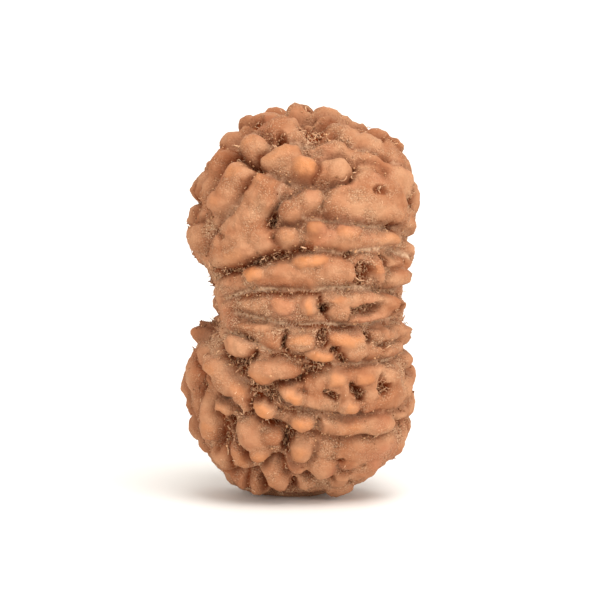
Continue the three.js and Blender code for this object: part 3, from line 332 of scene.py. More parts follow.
# Face lines of the front, from left to right: depth, width, share of pale dust, points across and up.
# Each runs on round the right side to the mouth of the stringing channel.
FACE_LINES = (
    (1.0, 0.6, 0.2, (
        (-6.5, 36.7), (-3.7, 37.2), (-0.8, 37.4), (1.0, 37.0), (3.4, 36.8), (5.4, 36.1), (7.2, 35.5),
        (9.6, 34.0),
    )),
    (0.6, 0.5, 0.7, (
        (-6.0, 35.8), (-3.6, 35.6), (-2.4, 35.0), (1.3, 34.9), (2.4, 35.3), (4.4, 34.7), (6.8, 33.8),
        (8.6, 33.0), (10.4, 31.7),
    )),
    (0.7, 0.5, 0.8, (
        (0.0, 27.7), (2.5, 27.4), (4.5, 27.2), (6.5, 26.9), (8.6, 26.7), (9.6, 26.6), (10.3, 26.1),
    )),
    (0.7, 0.5, 1.0, (
        (-8.8, 21.6), (-6.8, 22.4), (-4.2, 23.5), (-2.0, 24.0), (0.4, 24.7), (2.2, 24.5), (4.5, 24.3),
        (9.6, 24.0),
    )),
    (0.8, 0.5, 1.0, (
        (-8.0, 19.7), (-6.2, 20.3), (-4.0, 20.6), (-1.0, 20.5), (1.0, 20.5), (3.0, 20.8), (6.0, 20.7),
        (9.8, 20.7),
    )),
    (0.8, 0.5, 0.9, (
        (-6.8, 18.3), (-5.4, 17.9), (-4.0, 17.7), (-2.4, 17.3), (0.0, 17.1), (2.2, 17.2), (5.6, 17.2),
        (7.5, 17.3), (9.7, 17.8),
    )),
    (0.7, 0.5, 0.9, (
        (-7.6, 16.6), (-6.3, 16.2), (-5.0, 15.6), (-3.8, 14.8), (-2.6, 14.4), (-0.3, 13.9), (1.0, 13.2),
        (3.0, 13.2), (5.0, 13.3), (7.0, 13.5), (9.3, 14.1), (10.3, 14.5),
    )),
    (0.7, 0.5, 0.6, (
        (-7.2, 12.9), (-5.6, 11.5), (-4.2, 10.9), (-2.8, 10.1), (-1.2, 9.1), (0.5, 8.6), (2.5, 8.2),
        (5.0, 8.2), (8.0, 8.6), (10.6, 9.6),
    )),
    (0.9, 0.5, 0.2, (
        (-1.6, 6.6), (0.4, 6.4), (2.0, 6.2), (4.3, 6.0), (5.8, 6.2), (7.2, 6.2), (8.4, 6.8), (9.2, 7.5),
        (9.9, 8.2),
    )),
)

# Shorter crevices between knobs of the front, written like the face lines
CREVICES = (
    (1.0, 0.5, 0.0, ((-6.2, 35.5), (-6.5, 34.6), (-6.1, 33.6), (-5.3, 33.1), (-4.5, 32.6), (-4.1, 32.2))),
    (0.9, 0.5, 0.0, ((-1.5, 34.8), (-2.6, 34.4), (-3.6, 33.9), (-4.4, 33.4), (-4.4, 32.6), (-3.7, 31.9))),
    (1.4, 0.7, 0.0, ((-6.7, 34.4), (-7.1, 33.5), (-7.7, 32.4), (-8.3, 31.2), (-8.8, 30.2), (-9.2, 29.0))),
    (0.6, 0.5, 0.0, ((-8.5, 34.8), (-7.6, 34.5), (-6.9, 34.5))),
    (0.6, 0.4, 0.0, ((-8.9, 34.1), (-8.9, 32.8), (-9.4, 31.9), (-9.9, 31.0), (-10.0, 30.1), (-10.3, 29.3))),
    (0.8, 0.5, 0.1, ((-4.4, 31.9), (-5.2, 30.8), (-5.9, 29.8))),
    (0.9, 0.6, 0.8, ((-5.9, 29.8), (-6.6, 28.9), (-7.4, 28.1), (-8.3, 27.2))),
    (0.9, 0.5, 0.1, ((-8.3, 27.2), (-8.8, 26.3), (-9.2, 25.1), (-9.5, 24.2))),
    (0.5, 0.5, 0.3, ((-11.1, 27.1), (-9.9, 27.2), (-9.0, 28.0))),
    (0.9, 0.6, 0.5, (
        (-3.6, 31.8), (-2.4, 31.8), (-1.2, 31.3), (0.0, 30.9), (1.2, 30.7), (2.2, 30.6), (3.2, 30.8),
        (4.2, 31.0),
    )),
    (0.5, 0.5, 0.6, ((-2.0, 31.2), (-2.4, 30.2), (-2.2, 29.4))),
    (0.7, 0.4, 0.2, ((0.9, 31.3), (1.4, 32.2), (1.2, 33.2))),
    (0.7, 0.5, 0.4, (
        (0.2, 34.0), (1.3, 33.3), (2.4, 33.4), (3.8, 33.5), (4.5, 33.0), (5.2, 32.3), (4.7, 31.6),
        (4.1, 31.0),
    )),
    (0.6, 0.4, 0.2, ((3.3, 35.3), (4.4, 34.7), (5.4, 34.2), (6.6, 33.9), (7.4, 33.6), (8.6, 33.0))),
    (0.5, 0.4, 0.4, ((5.3, 33.1), (6.6, 32.9), (8.1, 32.1))),
    (0.7, 0.5, 0.5, ((-3.3, 26.6), (-2.8, 27.7), (-2.3, 28.9), (-1.4, 29.8), (-0.5, 30.3))),
    (0.6, 0.5, 0.3, ((-3.0, 26.7), (-1.8, 27.0), (-0.5, 27.0), (0.4, 27.8), (1.6, 28.0), (2.6, 27.7))),
    (0.5, 0.5, 0.3, ((-2.8, 26.4), (-2.9, 25.6), (-2.4, 24.8))),
    (1.2, 0.8, 0.0, (
        (-8.4, 22.2), (-6.8, 22.5), (-5.4, 23.0), (-4.0, 23.7), (-2.8, 24.1), (-1.6, 24.0), (-0.6, 24.5),
        (0.4, 24.8),
    )),
    (0.8, 0.4, 0.0, ((-6.4, 19.8), (-5.0, 20.1), (-3.0, 20.2), (-1.0, 20.2), (0.2, 20.3), (1.6, 20.2))),
    (0.7, 0.4, 0.0, ((1.6, 19.8), (1.8, 18.8), (2.3, 17.9), (2.7, 17.2))),
    (0.9, 0.4, 0.0, ((-1.6, 17.3), (0.0, 17.0), (2.0, 17.1), (3.4, 16.9), (5.0, 17.0))),
    (0.9, 0.4, 0.0, ((-3.1, 14.1), (-1.8, 14.3), (-0.8, 14.0), (0.3, 13.8), (1.2, 13.2), (2.6, 13.1))),
    (0.8, 0.5, 0.0, ((-1.7, 16.4), (-1.9, 15.4), (-1.6, 14.6))),
    (1.1, 0.6, 0.0, ((-8.4, 15.3), (-7.8, 14.6), (-7.3, 13.8), (-6.3, 13.5), (-5.2, 13.8), (-4.8, 14.4))),
    (0.9, 0.5, 0.0, (
        (-5.4, 12.0), (-4.6, 11.3), (-3.4, 11.0), (-2.4, 11.4), (-1.0, 11.8), (0.2, 12.1), (1.0, 12.7),
    )),
    (1.0, 0.5, 0.0, (
        (-5.2, 9.7), (-4.6, 8.3), (-3.6, 7.8), (-2.6, 7.4), (-1.7, 6.7), (-1.9, 5.6), (-1.5, 4.4),
    )),
    (0.9, 0.5, 0.6, ((-9.7, 13.9), (-9.5, 12.6), (-9.0, 11.6), (-8.3, 10.4), (-7.0, 9.7), (-6.4, 8.8))),
    (1.2, 0.5, 0.0, (
        (-7.8, 8.4), (-7.2, 7.7), (-6.8, 6.8), (-6.3, 5.8), (-5.7, 4.9), (-5.0, 4.0), (-4.1, 3.6),
    )),
    (1.0, 0.5, 0.1, ((-10.1, 14.4), (-10.0, 12.4), (-9.9, 11.0), (-9.9, 9.4), (-10.0, 8.0))),
    (0.6, 0.5, 0.4, ((-9.9, 8.2), (-9.8, 6.8), (-9.6, 5.2))),
    (1.0, 0.5, 0.0, ((-8.5, 10.2), (-8.4, 8.6), (-8.0, 7.4), (-8.0, 6.0), (-8.3, 5.0))),
    (0.8, 0.5, 0.0, ((-7.3, 5.9), (-7.1, 4.6), (-6.9, 3.2))),
    (0.5, 0.5, 0.7, ((1.4, 8.0), (1.6, 7.0), (1.2, 6.3))),
    (0.6, 0.5, 0.5, ((-1.9, 4.3), (-1.4, 3.8), (0.2, 3.7), (1.0, 4.4), (1.4, 5.6))),
    (1.2, 0.5, 0.0, (
        (-3.9, 3.6), (-3.0, 4.1), (-2.2, 3.7), (-1.4, 2.6), (-0.4, 2.4), (1.0, 2.1), (2.8, 2.1),
    )),
    (1.2, 0.5, 0.0, ((-7.0, 2.7), (-6.0, 2.9), (-5.0, 2.8), (-4.1, 2.7), (-3.8, 1.9), (-3.6, 1.0))),
    (1.0, 0.5, 0.0, ((-5.5, 2.8), (-5.3, 1.8), (-5.0, 0.9))),
    (0.6, 0.5, 0.2, ((10.0, 7.6), (9.8, 6.0), (9.0, 4.0))),
)

# Fibrous hollows of the front, sunk between its knobs: across, height, length, width, tilt, depth
HOLLOWS = (
    (-4.0, 35.6, 3.6, 0.9, -12, 0.5),
    (-2.5, 34.9, 1.4, 1.0, 60, 0.6),
    (1.1, 36.3, 3.2, 1.6, -20, 0.6),
    (-6.9, 33.5, 2.4, 0.9, 60, 0.9),
    (-5.2, 32.9, 1.8, 0.8, -25, 0.7),
    (-8.1, 30.9, 2.0, 0.8, 75, 0.5),
    (4.8, 32.1, 2.4, 0.7, 70, 0.5),
    (-3.1, 27.5, 1.9, 0.9, 60, 0.7),
    (-8.9, 22.6, 1.4, 0.8, -50, 0.5),
    (-5.6, 22.9, 5.0, 0.9, 20, 0.6),
    (-3.0, 24.0, 2.8, 1.0, 5, 0.6),
    (-7.6, 22.0, 1.8, 1.0, -10, 0.4),
    (-7.9, 14.7, 1.6, 0.9, -60, 0.6),
    (-6.1, 12.9, 2.6, 1.6, -25, 0.7),
    (-4.0, 10.5, 3.0, 2.0, -25, 0.7),
    (-0.9, 11.8, 2.4, 0.8, -5, 0.6),
    (-5.9, 8.6, 2.2, 0.8, -10, 0.5),
    (-3.4, 7.5, 2.8, 0.8, -18, 0.6),
    (-7.9, 6.3, 3.0, 1.5, 100, 0.5),
    (-7.0, 7.2, 3.0, 0.7, -55, 0.7),
    (-1.5, 5.8, 2.6, 1.2, 80, 0.8),
    (-7.6, 4.8, 1.6, 0.9, -40, 0.5),
    (1.9, 15.8, 2.0, 1.3, 85, 0.5),
    (0.9, 12.8, 2.6, 1.0, 0, 0.6),
    (3.5, 14.3, 1.8, 1.2, -50, 0.5),
    (-10.2, 10.6, 2.2, 0.9, 95, 0.5),
    (-3.8, 1.6, 1.6, 0.6, -80, 0.6),
    (-1.3, 1.4, 1.6, 1.2, 0, 0.7),
    (-1.9, 8.9, 2.8, 0.7, -25, 0.5),
)


def srgb(red: int, green: int, blue: int) -> tuple[float, float, float, float]:
    """Turns a colour seen on a screen into the linear colour that shaders take.

    Args:
        red: Red from 0 to 255.
        green: Green from 0 to 255.
        blue: Blue from 0 to 255.

    Returns:
        The linear colour with full alpha.
    """
    toe, toe_slope, offset, power = 0.04045, 12.92, 0.055, 2.4
    parts = [value / 255 for value in (red, green, blue)]
    curved = [((part + offset) / (1 + offset)) ** power for part in parts]
    linear = [part / toe_slope if part <= toe else rest for part, rest in zip(parts, curved)]
    return (*linear, 1.0)


def unit(vectors: np.ndarray) -> np.ndarray:
    """Returns the vectors at length 1."""
    return vectors / np.linalg.norm(vectors, axis=-1, keepdims=True)


def smooth_between(
    before: np.ndarray, here: np.ndarray, after: np.ndarray, beyond: np.ndarray, part: np.ndarray
) -> np.ndarray:
    """Runs smoothly from one value to the next, in line with the values round them.

    Args:
        before: The value before the first.
        here: The first value.
        after: The second value.
        beyond: The value after the second.
        part: Shares of the way from the first to the second.

    Returns:
        The values at those shares.
    """
    slope = after - before
    bend = 2 * before - 5 * here + 4 * after - beyond
    twist = 3 * here - 3 * after + beyond - before
    return here + 0.5 * (slope * part + bend * part**2 + twist * part**3)


class Draws:
    """Repeatable draws between 0 and 1, the same ones that place the solid's hidden knobs."""

    FACTOR = 1664525
    SHIFT = 1013904223
    RANGE = 4294967296

    def __init__(self, seed: int) -> None:
        """Starts the draws at a seed."""
        self.state = seed

    def draw(self) -> float:
        """Returns the next draw between 0 and 1."""
        self.state = (self.state * self.FACTOR + self.SHIFT) % self.RANGE
        return self.state / self.RANGE

    def spread(self, amount: float) -> float:
        """Returns a draw between minus the amount and the amount."""
        return (self.draw() * 2 - 1) * amount


@dataclass(frozen=True)
class Sight:
    """The line of sight on which the front's features are placed, a little above the level."""

    tilt: float = math.radians(7)

    @property
    def across(self) -> np.ndarray:
        """Returns the way to the right."""
        return np.array([1.0, 0.0, 0.0])

    @property
    def upwards(self) -> np.ndarray:
        """Returns the way up in the picture."""
        return np.array([0.0, math.sin(self.tilt), math.cos(self.tilt)])

    @property
    def towards(self) -> np.ndarray:
        """Returns the way to the eye."""
        return np.array([0.0, -math.cos(self.tilt), math.sin(self.tilt)])


@dataclass(frozen=True)
class SmoothBody:
    """The smooth waisted body under the relief, with the two mouths of its stringing channel."""

    height: float = 39.2
    half_depth: float = 11.6
    fullness: float = 2.4
    outline_radii: tuple[float, ...] = (
        10.0, 10.3, 11.7, 15.3, 17.7, 17.8, 18.5, 18.6, 16.8, 14.3, 12.3, 10.2,
        9.2, 9.8, 13.1, 15.6, 18.5, 19.8, 19.6, 19.3, 17.8, 14.7, 11.6, 9.9,
    )
    channel_turn: float = math.radians(12)
    mouth_depth: float = 2.4
    mouth_spread: float = math.radians(17)
    probe: float = 0.05
    shrink: float = 0.99
    halvings: int = 30

    @property
    def middle(self) -> float:
        """Returns the height of the seed's middle."""
        return self.height / 2

    @property
    def channel_left(self) -> np.ndarray:
        """Returns the way from the middle to the left mouth."""
        return -np.array([math.cos(self.channel_turn), math.sin(self.channel_turn), 0.0])

    @property
    def channel_front(self) -> np.ndarray:
        """Returns the level way to the front, square to the channel."""
        return np.array([math.sin(self.channel_turn), -math.cos(self.channel_turn), 0.0])

    def outline_radius(self, turn: np.ndarray) -> np.ndarray:
        """Measures the body in the upright plane, on a smooth closed curve through the radii.

        Args:
            turn: Angles from the right, upwards.

        Returns:
            The radius at each angle.
        """
        radii = np.array(self.outline_radii)
        place = (turn / (2 * math.pi)) % 1 * len(radii)
        index = np.floor(place).astype(int)
        corners = (radii[(index + step) % len(radii)] for step in (-1, 0, 1, 2))
        return smooth_between(*corners, place - index)

    def radius(self, directions: np.ndarray) -> np.ndarray:
        """Measures the distance from the middle to the body.

        Args:
            directions: Directions from the middle, at length 1.

        Returns:
            The distance in each direction.
        """
        turn = np.arctan2(directions[..., 2], directions[..., 0])
        level = np.hypot(directions[..., 0], directions[..., 2]) / self.outline_radius(turn)
        deep = np.abs(directions[..., 1]) / self.half_depth
        body = (level**self.fullness + deep**self.fullness) ** (-1 / self.fullness)
        from_mouth = np.arccos(np.minimum(1, np.abs(directions @ self.channel_left)))
        return body - self.mouth_depth * np.exp(-((from_mouth / self.mouth_spread) ** 2))

    def point(self, directions: np.ndarray) -> np.ndarray:
        """Returns the body's point in each direction."""
        return directions * self.radius(directions)[..., None]

    def outside(self, points: np.ndarray) -> np.ndarray:
        """Returns how far each point lies outside the body."""
        return np.linalg.norm(points, axis=-1) - self.radius(unit(points))

    def normal(self, points: np.ndarray) -> np.ndarray:
        """Finds the way out of the body.

        Args:
            points: Points of the body.

        Returns:
            The outward normal at each point.
        """
        nudges = np.eye(3) * self.probe
        slopes = [self.outside(points + nudge) - self.outside(points - nudge) for nudge in nudges]
        return unit(np.stack(slopes, axis=-1))

    def front_point(self, sight: Sight, across: float, height: float) -> np.ndarray:
        """Finds the point of the front that is seen at a place.

        Args:
            sight: The line of sight.
            across: Distance to the right of the middle.
            height: Height above the ground, as it looks.

        Returns:
            The point on the body.
        """
        base = sight.across * across + sight.upwards * (height - self.middle)
        while self.outside(base) > -self.probe:
            base = base * self.shrink
        near, far = 0.0, self.height
        for _ in range(self.halvings):
            half = (near + far) / 2
            if self.outside(base + sight.towards * half) < 0:
                near = half
            else:
                far = half
        return base + sight.towards * near

    def channel_direction(self, from_left: float, about: float) -> np.ndarray:
        """Returns the way at an angle from the left mouth, on the line at an angle about the channel."""
        outwards = self.channel_front * math.cos(about) + np.array([0.0, 0.0, math.sin(about)])
        return self.channel_left * math.cos(from_left) + outwards * math.sin(from_left)

    def angle_about(self, point: np.ndarray) -> float:
        """Returns a point's angle about the channel, from the front upwards."""
        return math.atan2(point[2], point @ self.channel_front)

    def angle_from_left(self, point: np.ndarray) -> float:
        """Returns a point's angle from the left mouth."""
        return math.acos(np.clip(unit(point) @ self.channel_left, -1, 1))


@dataclass
class Feature:
    """A knob or a pit: where it sits, the ways that it lies, its sizes and how far it rises."""

    centre: np.ndarray
    normal: np.ndarray
    along: np.ndarray
    sideways: np.ndarray
    length: float
    width: float
    rise: float
    squareness: float = 2.4
    spread: float = 0.53
    falloff: float = 0.5
    facing_from: float = 0.1
    facing_range: float = 0.4

    @classmethod
    def lying(
        cls,
        body: SmoothBody,
        centre: np.ndarray,
        heading: np.ndarray,
        length: float,
        width: float,
        rise: float,
    ) -> "Feature":
        """Lays a feature on the body.

        Args:
            body: The smooth body.
            centre: The feature's middle.
            heading: The way that its length runs.
            length: Its length.
            width: Its width.
            rise: How far it rises, or how deep it goes.

        Returns:
            The feature.
        """
        normal = body.normal(centre)
        along = unit(heading - normal * (heading @ normal))
        return cls(centre, normal, along, np.cross(normal, along), length, width, rise)

    def dome(self, points: np.ndarray, normals: np.ndarray) -> tuple[np.ndarray, np.ndarray]:
        """Finds the share of the rise at the points that the feature reaches.

        Args:
            points: Points of the smooth body.
            normals: The body's normals there.

        Returns:
            The numbers of the points reached, and the share at each: 1 over the middle, 0 at the edge.
        """
        offset = points - self.centre
        lengthwise = np.abs(offset @ self.along) / (self.spread * self.length)
        widthwise = np.abs(offset @ self.sideways) / (self.spread * self.width)
        out = lengthwise**self.squareness + widthwise**self.squareness
        near = np.nonzero(out < 1)[0]
        facing = np.clip((normals[near] @ self.normal - self.facing_from) / self.facing_range, 0, 1)
        return near, facing * (1 - out[near]) ** self.falloff


def deepest(features: list[Feature], points: np.ndarray, normals: np.ndarray) -> np.ndarray:
    """Measures the deepest of some features.

    Args:
        features: Pits or hollows.
        points: Points of the smooth body.
        normals: The body's normals there.

    Returns:
        The depth at each point.
    """
    depth = np.zeros(len(points))
    for one in features:
        near, share = one.dome(points, normals)
        depth[near] = np.maximum(depth[near], one.rise * share)
    return depth


@dataclass
class Crevice:
    """A crevice on the body: its points, depth, width and share of pale dust."""

    points: np.ndarray
    depth: float
    width: float
    dust: float

    def distances(self, points: np.ndarray) -> np.ndarray:
        """Measures how far points are from the crevice.

        Args:
            points: Points of the smooth body.

        Returns:
            The distance of each.
        """
        tree = KDTree(len(self.points))
        for number, place in enumerate(self.points):
            tree.insert(place, number)
        tree.balance()
        return np.array([tree.find(point)[2] for point in points])


@dataclass(frozen=True)
class HiddenRule:
    """The rule that runs lines, ribs, knobs and pits round where the front doesn't show them."""

    seed: int = 21
    lines: int = 12
    lines_from: float = math.radians(86)
    lines_to: float = math.radians(278)
    girth_steps: int = 720
    rounding: float = 1e-9
    line_scatter: float = 0.02
    line_start: float = 0.12
    line_end: float = 0.9
    line_pace: float = 0.095
    line_depth: float = 1.2
    line_width: float = 0.85
    line_dust: float = 0.35
    wave: float = math.radians(2.2)
    wave_pace: float = 9.0
    double_rib_gap: float = 0.55
    rib_end: float = 0.42
    rib_scatter: float = 0.035
    knob_spacing: float = 3.3
    spacing_least: float = 0.8
    spacing_range: float = 0.45
    knob_length: float = 3.7
    knob_width: float = 2.5
    knob_rise: float = 1.35
    knob_tilt: float = math.radians(28)
    knob_clearance: float = 1.5
    size_least: float = 0.75
    size_range: float = 0.5
    narrow_least: float = 0.8
    narrow_range: float = 0.35
    heading_step: float = 0.02
    pit_share: float = 0.3
    pit_size: float = 1.5
    pit_narrowness: float = 0.8
    pit_depth: float = 1.1
    pit_scatter: float = 0.05
    face_limit: float = -0.12
    rim_least: float = 0.3
    rim_from: float = 0.1
    rim_range: float = 0.4


@dataclass
class Relief:
    """All knobs, pits and crevices of the seed, those of the front by place and the rest by rule."""

    body: SmoothBody
    sight: Sight
    rule: HiddenRule = HiddenRule()
    curve_step: float = 0.35
    side_shares: tuple[float, ...] = (0.25, 0.5, 0.75, 1)
    shown_least: float = 0.5
    knob_blend: float = 6.0
    knob_foot: float = 0.15
    foot_gain: float = 1.1
    cut_share: float = 0.62
    dust_width: float = 0.8
    shoulder_share: float = 0.35
    shoulder_width: float = 3.0
    shoulder_reach: float = 2.2
    hollow_clear: float = 0.9
    polish_from: float = 1.3
    polish_range: float = 0.5
    hidden_polish: float = 0.7
    rim_knob: tuple[float, ...] = (-9.8, 2.2, -3.5, 2.2, 2.0, 1.9)
    foot: tuple[float, float] = (-0.8, 0.4)
    flat_radius: float = 2.4
    foot_blend: float = 1.6
    knobs: list[Feature] = field(default_factory=list)
    polished: list[Feature] = field(default_factory=list)
    hollows: list[Feature] = field(default_factory=list)
    pits: list[Feature] = field(default_factory=list)
    crevices: list[Crevice] = field(default_factory=list)

    def __post_init__(self) -> None:
        """Places every feature, in the order of the solid's own draws."""
        rule = self.rule
        draws = Draws(rule.seed)
        lines = [self.face_line(*row) for row in FACE_LINES]
        right_angles = [angle for _, angle in lines]
        hidden_angles = [angle + draws.spread(rule.line_scatter) for angle in self.girth_angles()]
        short = [self.crevice(*row) for row in CREVICES]
        hidden = [self.hidden_line(angle, draws) for angle in hidden_angles]
        self.crevices = [line for line, _ in lines] + short + hidden
        self.knobs = [self.front_feature(*row) for row in FRONT_KNOBS]
        self.polished = [self.front_feature(*row) for row in POLISHED_PLACES]
        self.hollows = [self.front_feature(*row) for row in HOLLOWS]
        self.pits = [self.front_feature(*row) for row in FRONT_PITS]
        front_centres = np.array([knob.centre for knob in self.knobs])
        angles = sorted(angle % (2 * math.pi) for angle in right_angles + hidden_angles)
        for angle, following in zip(angles, angles[1:] + [angles[0] + 2 * math.pi]):
            gap = following - angle
            rows = 2 if gap > rule.double_rib_gap else 1
            for row in range(rows):
                self.hidden_rib(angle + gap * (row + 0.5) / rows, draws, front_centres)
        rim_place = self.body.point(unit(np.array(self.rim_knob[:3])))
        self.knobs.append(Feature.lying(self.body, rim_place, self.sight.upwards, *self.rim_knob[3:]))

    def front_feature(
        self, across: float, height: float, length: float, width: float, tilt: float, rise: float
    ) -> Feature:
        """Places a knob or a pit of the front, at its true size from the size it shows.

        Args:
            across: Distance to the right of the middle.
            height: Height above the ground, as it looks.
            length: Length, as it looks.
            width: Width, as it looks.
            tilt: Tilt of the length from the level, in degrees.
            rise: Rise or depth.

        Returns:
            The feature on the body.
        """
        turn = math.radians(tilt)
        heading = self.sight.across * math.cos(turn) + self.sight.upwards * math.sin(turn)
        centre = self.body.front_point(self.sight, across, height)
        found = Feature.lying(self.body, centre, heading, length, width, rise)
        found.length = length / self.shown(found.along)
        found.width = width / self.shown(found.sideways)
        return found

    def shown(self, way: np.ndarray) -> float:
        """Returns the share of a length along a way that the front shows."""
        return max(math.sqrt(1 - (way @ self.sight.towards) ** 2), self.shown_least)

    def curve(self, corners: list[np.ndarray]) -> np.ndarray:
        """Draws a smooth line on the body.

        Args:
            corners: Points that it passes.

        Returns:
            Close points of the body along it.
        """
        points = np.array([2 * corners[0] - corners[1], *corners, 2 * corners[-1] - corners[-2]])
        found = []
        for before, here, after, beyond in zip(points, points[1:], points[2:], points[3:]):
            count = max(2, math.ceil(np.linalg.norm(after - here) / self.curve_step))
            part = np.arange(count)[:, None] / count
            found.append(smooth_between(before, here, after, beyond, part))
        found.append(points[-2:-1])
        return self.body.point(unit(np.concatenate(found)))

    def face_line(
        self, depth: float, width: float, dust: float, places: tuple[tuple[float, float], ...]
    ) -> tuple[Crevice, float]:
        """Draws a face line of the front and its run round the right side.

        Args:
            depth: Depth of the line.
            width: Width of the line.
            dust: Share of pale dust in it.
            places: Points across and up.

        Returns:
            The line, and its angle about the channel on the right side.
        """
        corners = [self.body.front_point(self.sight, *place) for place in places]
        about = self.body.angle_about(corners[-1])
        start = self.body.angle_from_left(corners[-1])
        end = math.pi - 2 * self.body.mouth_spread
        for share in self.side_shares:
            direction = self.body.channel_direction(start + (end - start) * share, about)
            corners.append(self.body.point(direction))
        return Crevice(self.curve(corners), depth, width, dust), about

    def crevice(
        self, depth: float, width: float, dust: float, places: tuple[tuple[float, float], ...]
    ) -> Crevice:
        """Draws a short crevice of the front from its depth, width, dust and points."""
        corners = [self.body.front_point(self.sight, *place) for place in places]
        return Crevice(self.curve(corners), depth, width, dust)

    def hidden_line(self, about: float, draws: Draws) -> Crevice:
        """Draws a face line of the back, with a slight wave, from one mouth to the other.

        Args:
            about: The line's angle about the channel.
            draws: The draws to use.

        Returns:
            The line.
        """
        rule = self.rule
        phase = draws.draw() * 2 * math.pi
        corners = []
        share = rule.line_start
        while share < rule.line_end:
            wave = rule.wave * math.sin(phase + share * rule.wave_pace)
            corners.append(self.body.point(self.body.channel_direction(share * math.pi, about + wave)))
            share += rule.line_pace
        return Crevice(self.curve(corners), rule.line_depth, rule.line_width, rule.line_dust)

    def girth_angles(self) -> list[float]:
        """Parts the hidden girth evenly.

        Returns:
            The angles about the channel of the lines that part it.
        """
        rule = self.rule
        angles = np.linspace(rule.lines_from, rule.lines_to, rule.girth_steps + 1)
        ways = np.array([self.body.channel_direction(math.pi / 2, angle) for angle in angles])
        steps = np.linalg.norm(np.diff(self.body.point(ways), axis=0), axis=1)
        lengths = np.concatenate([[0], np.cumsum(steps)])
        wanted = lengths[-1] * np.arange(rule.lines) / (rule.lines - 1)
        return [float(angles[np.argmax(lengths >= length - rule.rounding)]) for length in wanted]

    def hidden_rib(self, about: float, draws: Draws, front_centres: np.ndarray) -> None:
        """Sets knobs and pits along a rib, where the front doesn't show it.

        Args:
            about: The rib's angle about the channel.
            draws: The draws to use.
            front_centres: Centres of the front's knobs, which stay clear.
        """
        body, rule = self.body, self.rule
        girth = float(body.radius(body.channel_direction(math.pi / 2, about)))
        knob_step = rule.knob_spacing / girth
        place = rule.rib_end + draws.draw() * knob_step
        while place < math.pi - rule.rib_end:
            size = rule.size_least + draws.draw() * rule.size_range
            turn = draws.spread(rule.knob_tilt)
            has_pit = draws.draw() < rule.pit_share
            centre = body.point(body.channel_direction(place, about + draws.spread(rule.rib_scatter)))
            ahead = body.point(body.channel_direction(place + rule.heading_step, about)) - centre
            normal = body.normal(centre)
            clear = np.linalg.norm(front_centres - centre, axis=1).min() > rule.knob_clearance
            if normal[1] > rule.face_limit and clear:
                heading = ahead * math.cos(turn) + np.cross(normal, ahead) * math.sin(turn)
                narrow = rule.narrow_least + draws.draw() * rule.narrow_range
                behind = max(rule.rim_least, min((normal[1] - rule.rim_from) / rule.rim_range, 1))
                sizes = (rule.knob_length * size, rule.knob_width * narrow, rule.knob_rise * size * behind)
                self.knobs.append(Feature.lying(body, centre, heading, *sizes))
                if has_pit:
                    pit_about = about + draws.spread(rule.pit_scatter)
                    way = body.channel_direction(place + knob_step / 2, pit_about)
                    pit_width = rule.pit_size * narrow * rule.pit_narrowness
                    pit = (rule.pit_size * size, pit_width, rule.pit_depth)
                    self.pits.append(Feature.lying(body, body.point(way), ahead, *pit))
            place += knob_step * (rule.spacing_least + draws.draw() * rule.spacing_range)

    def knob_field(self, points: np.ndarray, normals: np.ndarray) -> np.ndarray:
        """Measures the knobs, melted together where they meet and rounded at their feet.

        Args:
            points: Points of the smooth body.
            normals: The body's normals there.

        Returns:
            The rise at each point.
        """
        total = np.zeros(len(points))
        for knob in self.knobs:
            near, share = knob.dome(points, normals)
            total[near] += (knob.rise * share) ** self.knob_blend
        rise = total ** (1 / self.knob_blend)
        return self.foot_gain * (np.hypot(rise, self.knob_foot) - self.knob_foot)

    def polish_field(self, points: np.ndarray, normals: np.ndarray) -> np.ndarray:
        """Measures the waxy polish of the front's places and of the proudest hidden knobs.

        Args:
            points: Points of the smooth body.
            normals: The body's normals there.

        Returns:
            The share of polish at each point.
        """
        polish = np.zeros(len(points))
        for place in self.polished:
            near, share = place.dome(points, normals)
            polish[near] = np.maximum(polish[near], place.rise * share)
        for knob in self.knobs[len(FRONT_KNOBS):]:
            near, share = knob.dome(points, normals)
            proud = min(max((knob.rise - self.polish_from) / self.polish_range, 0), 1)
            polish[near] = np.maximum(polish[near], self.hidden_polish * proud * share**2)
        return polish

    def pit_field(self, points: np.ndarray, normals: np.ndarray) -> np.ndarray:
        """Returns the depth of the pits at each point of the body with its normals."""
        return deepest(self.pits, points, normals)

    def hollow_field(self, points: np.ndarray, normals: np.ndarray, rise: np.ndarray) -> np.ndarray:
        """Returns the depth of the hollows at each point, where no knob stands in them."""
        clear = np.clip(1 - rise / self.hollow_clear, 0, 1)
        return deepest(self.hollows, points, normals) * clear

    def above_foot(self, points: np.ndarray) -> np.ndarray:
        """Flattens the foot.

        Args:
            points: Points of the smooth body.

        Returns:
            The share of its height that each point keeps: none on the flat foot.
        """
        from_foot = np.hypot(*(points[:, :2] - np.array(self.foot)).T)
        share = np.clip((from_foot - self.flat_radius) / self.foot_blend, 0, 1)
        return np.where(points[:, 2] < 0, share * share * (3 - 2 * share), 1)

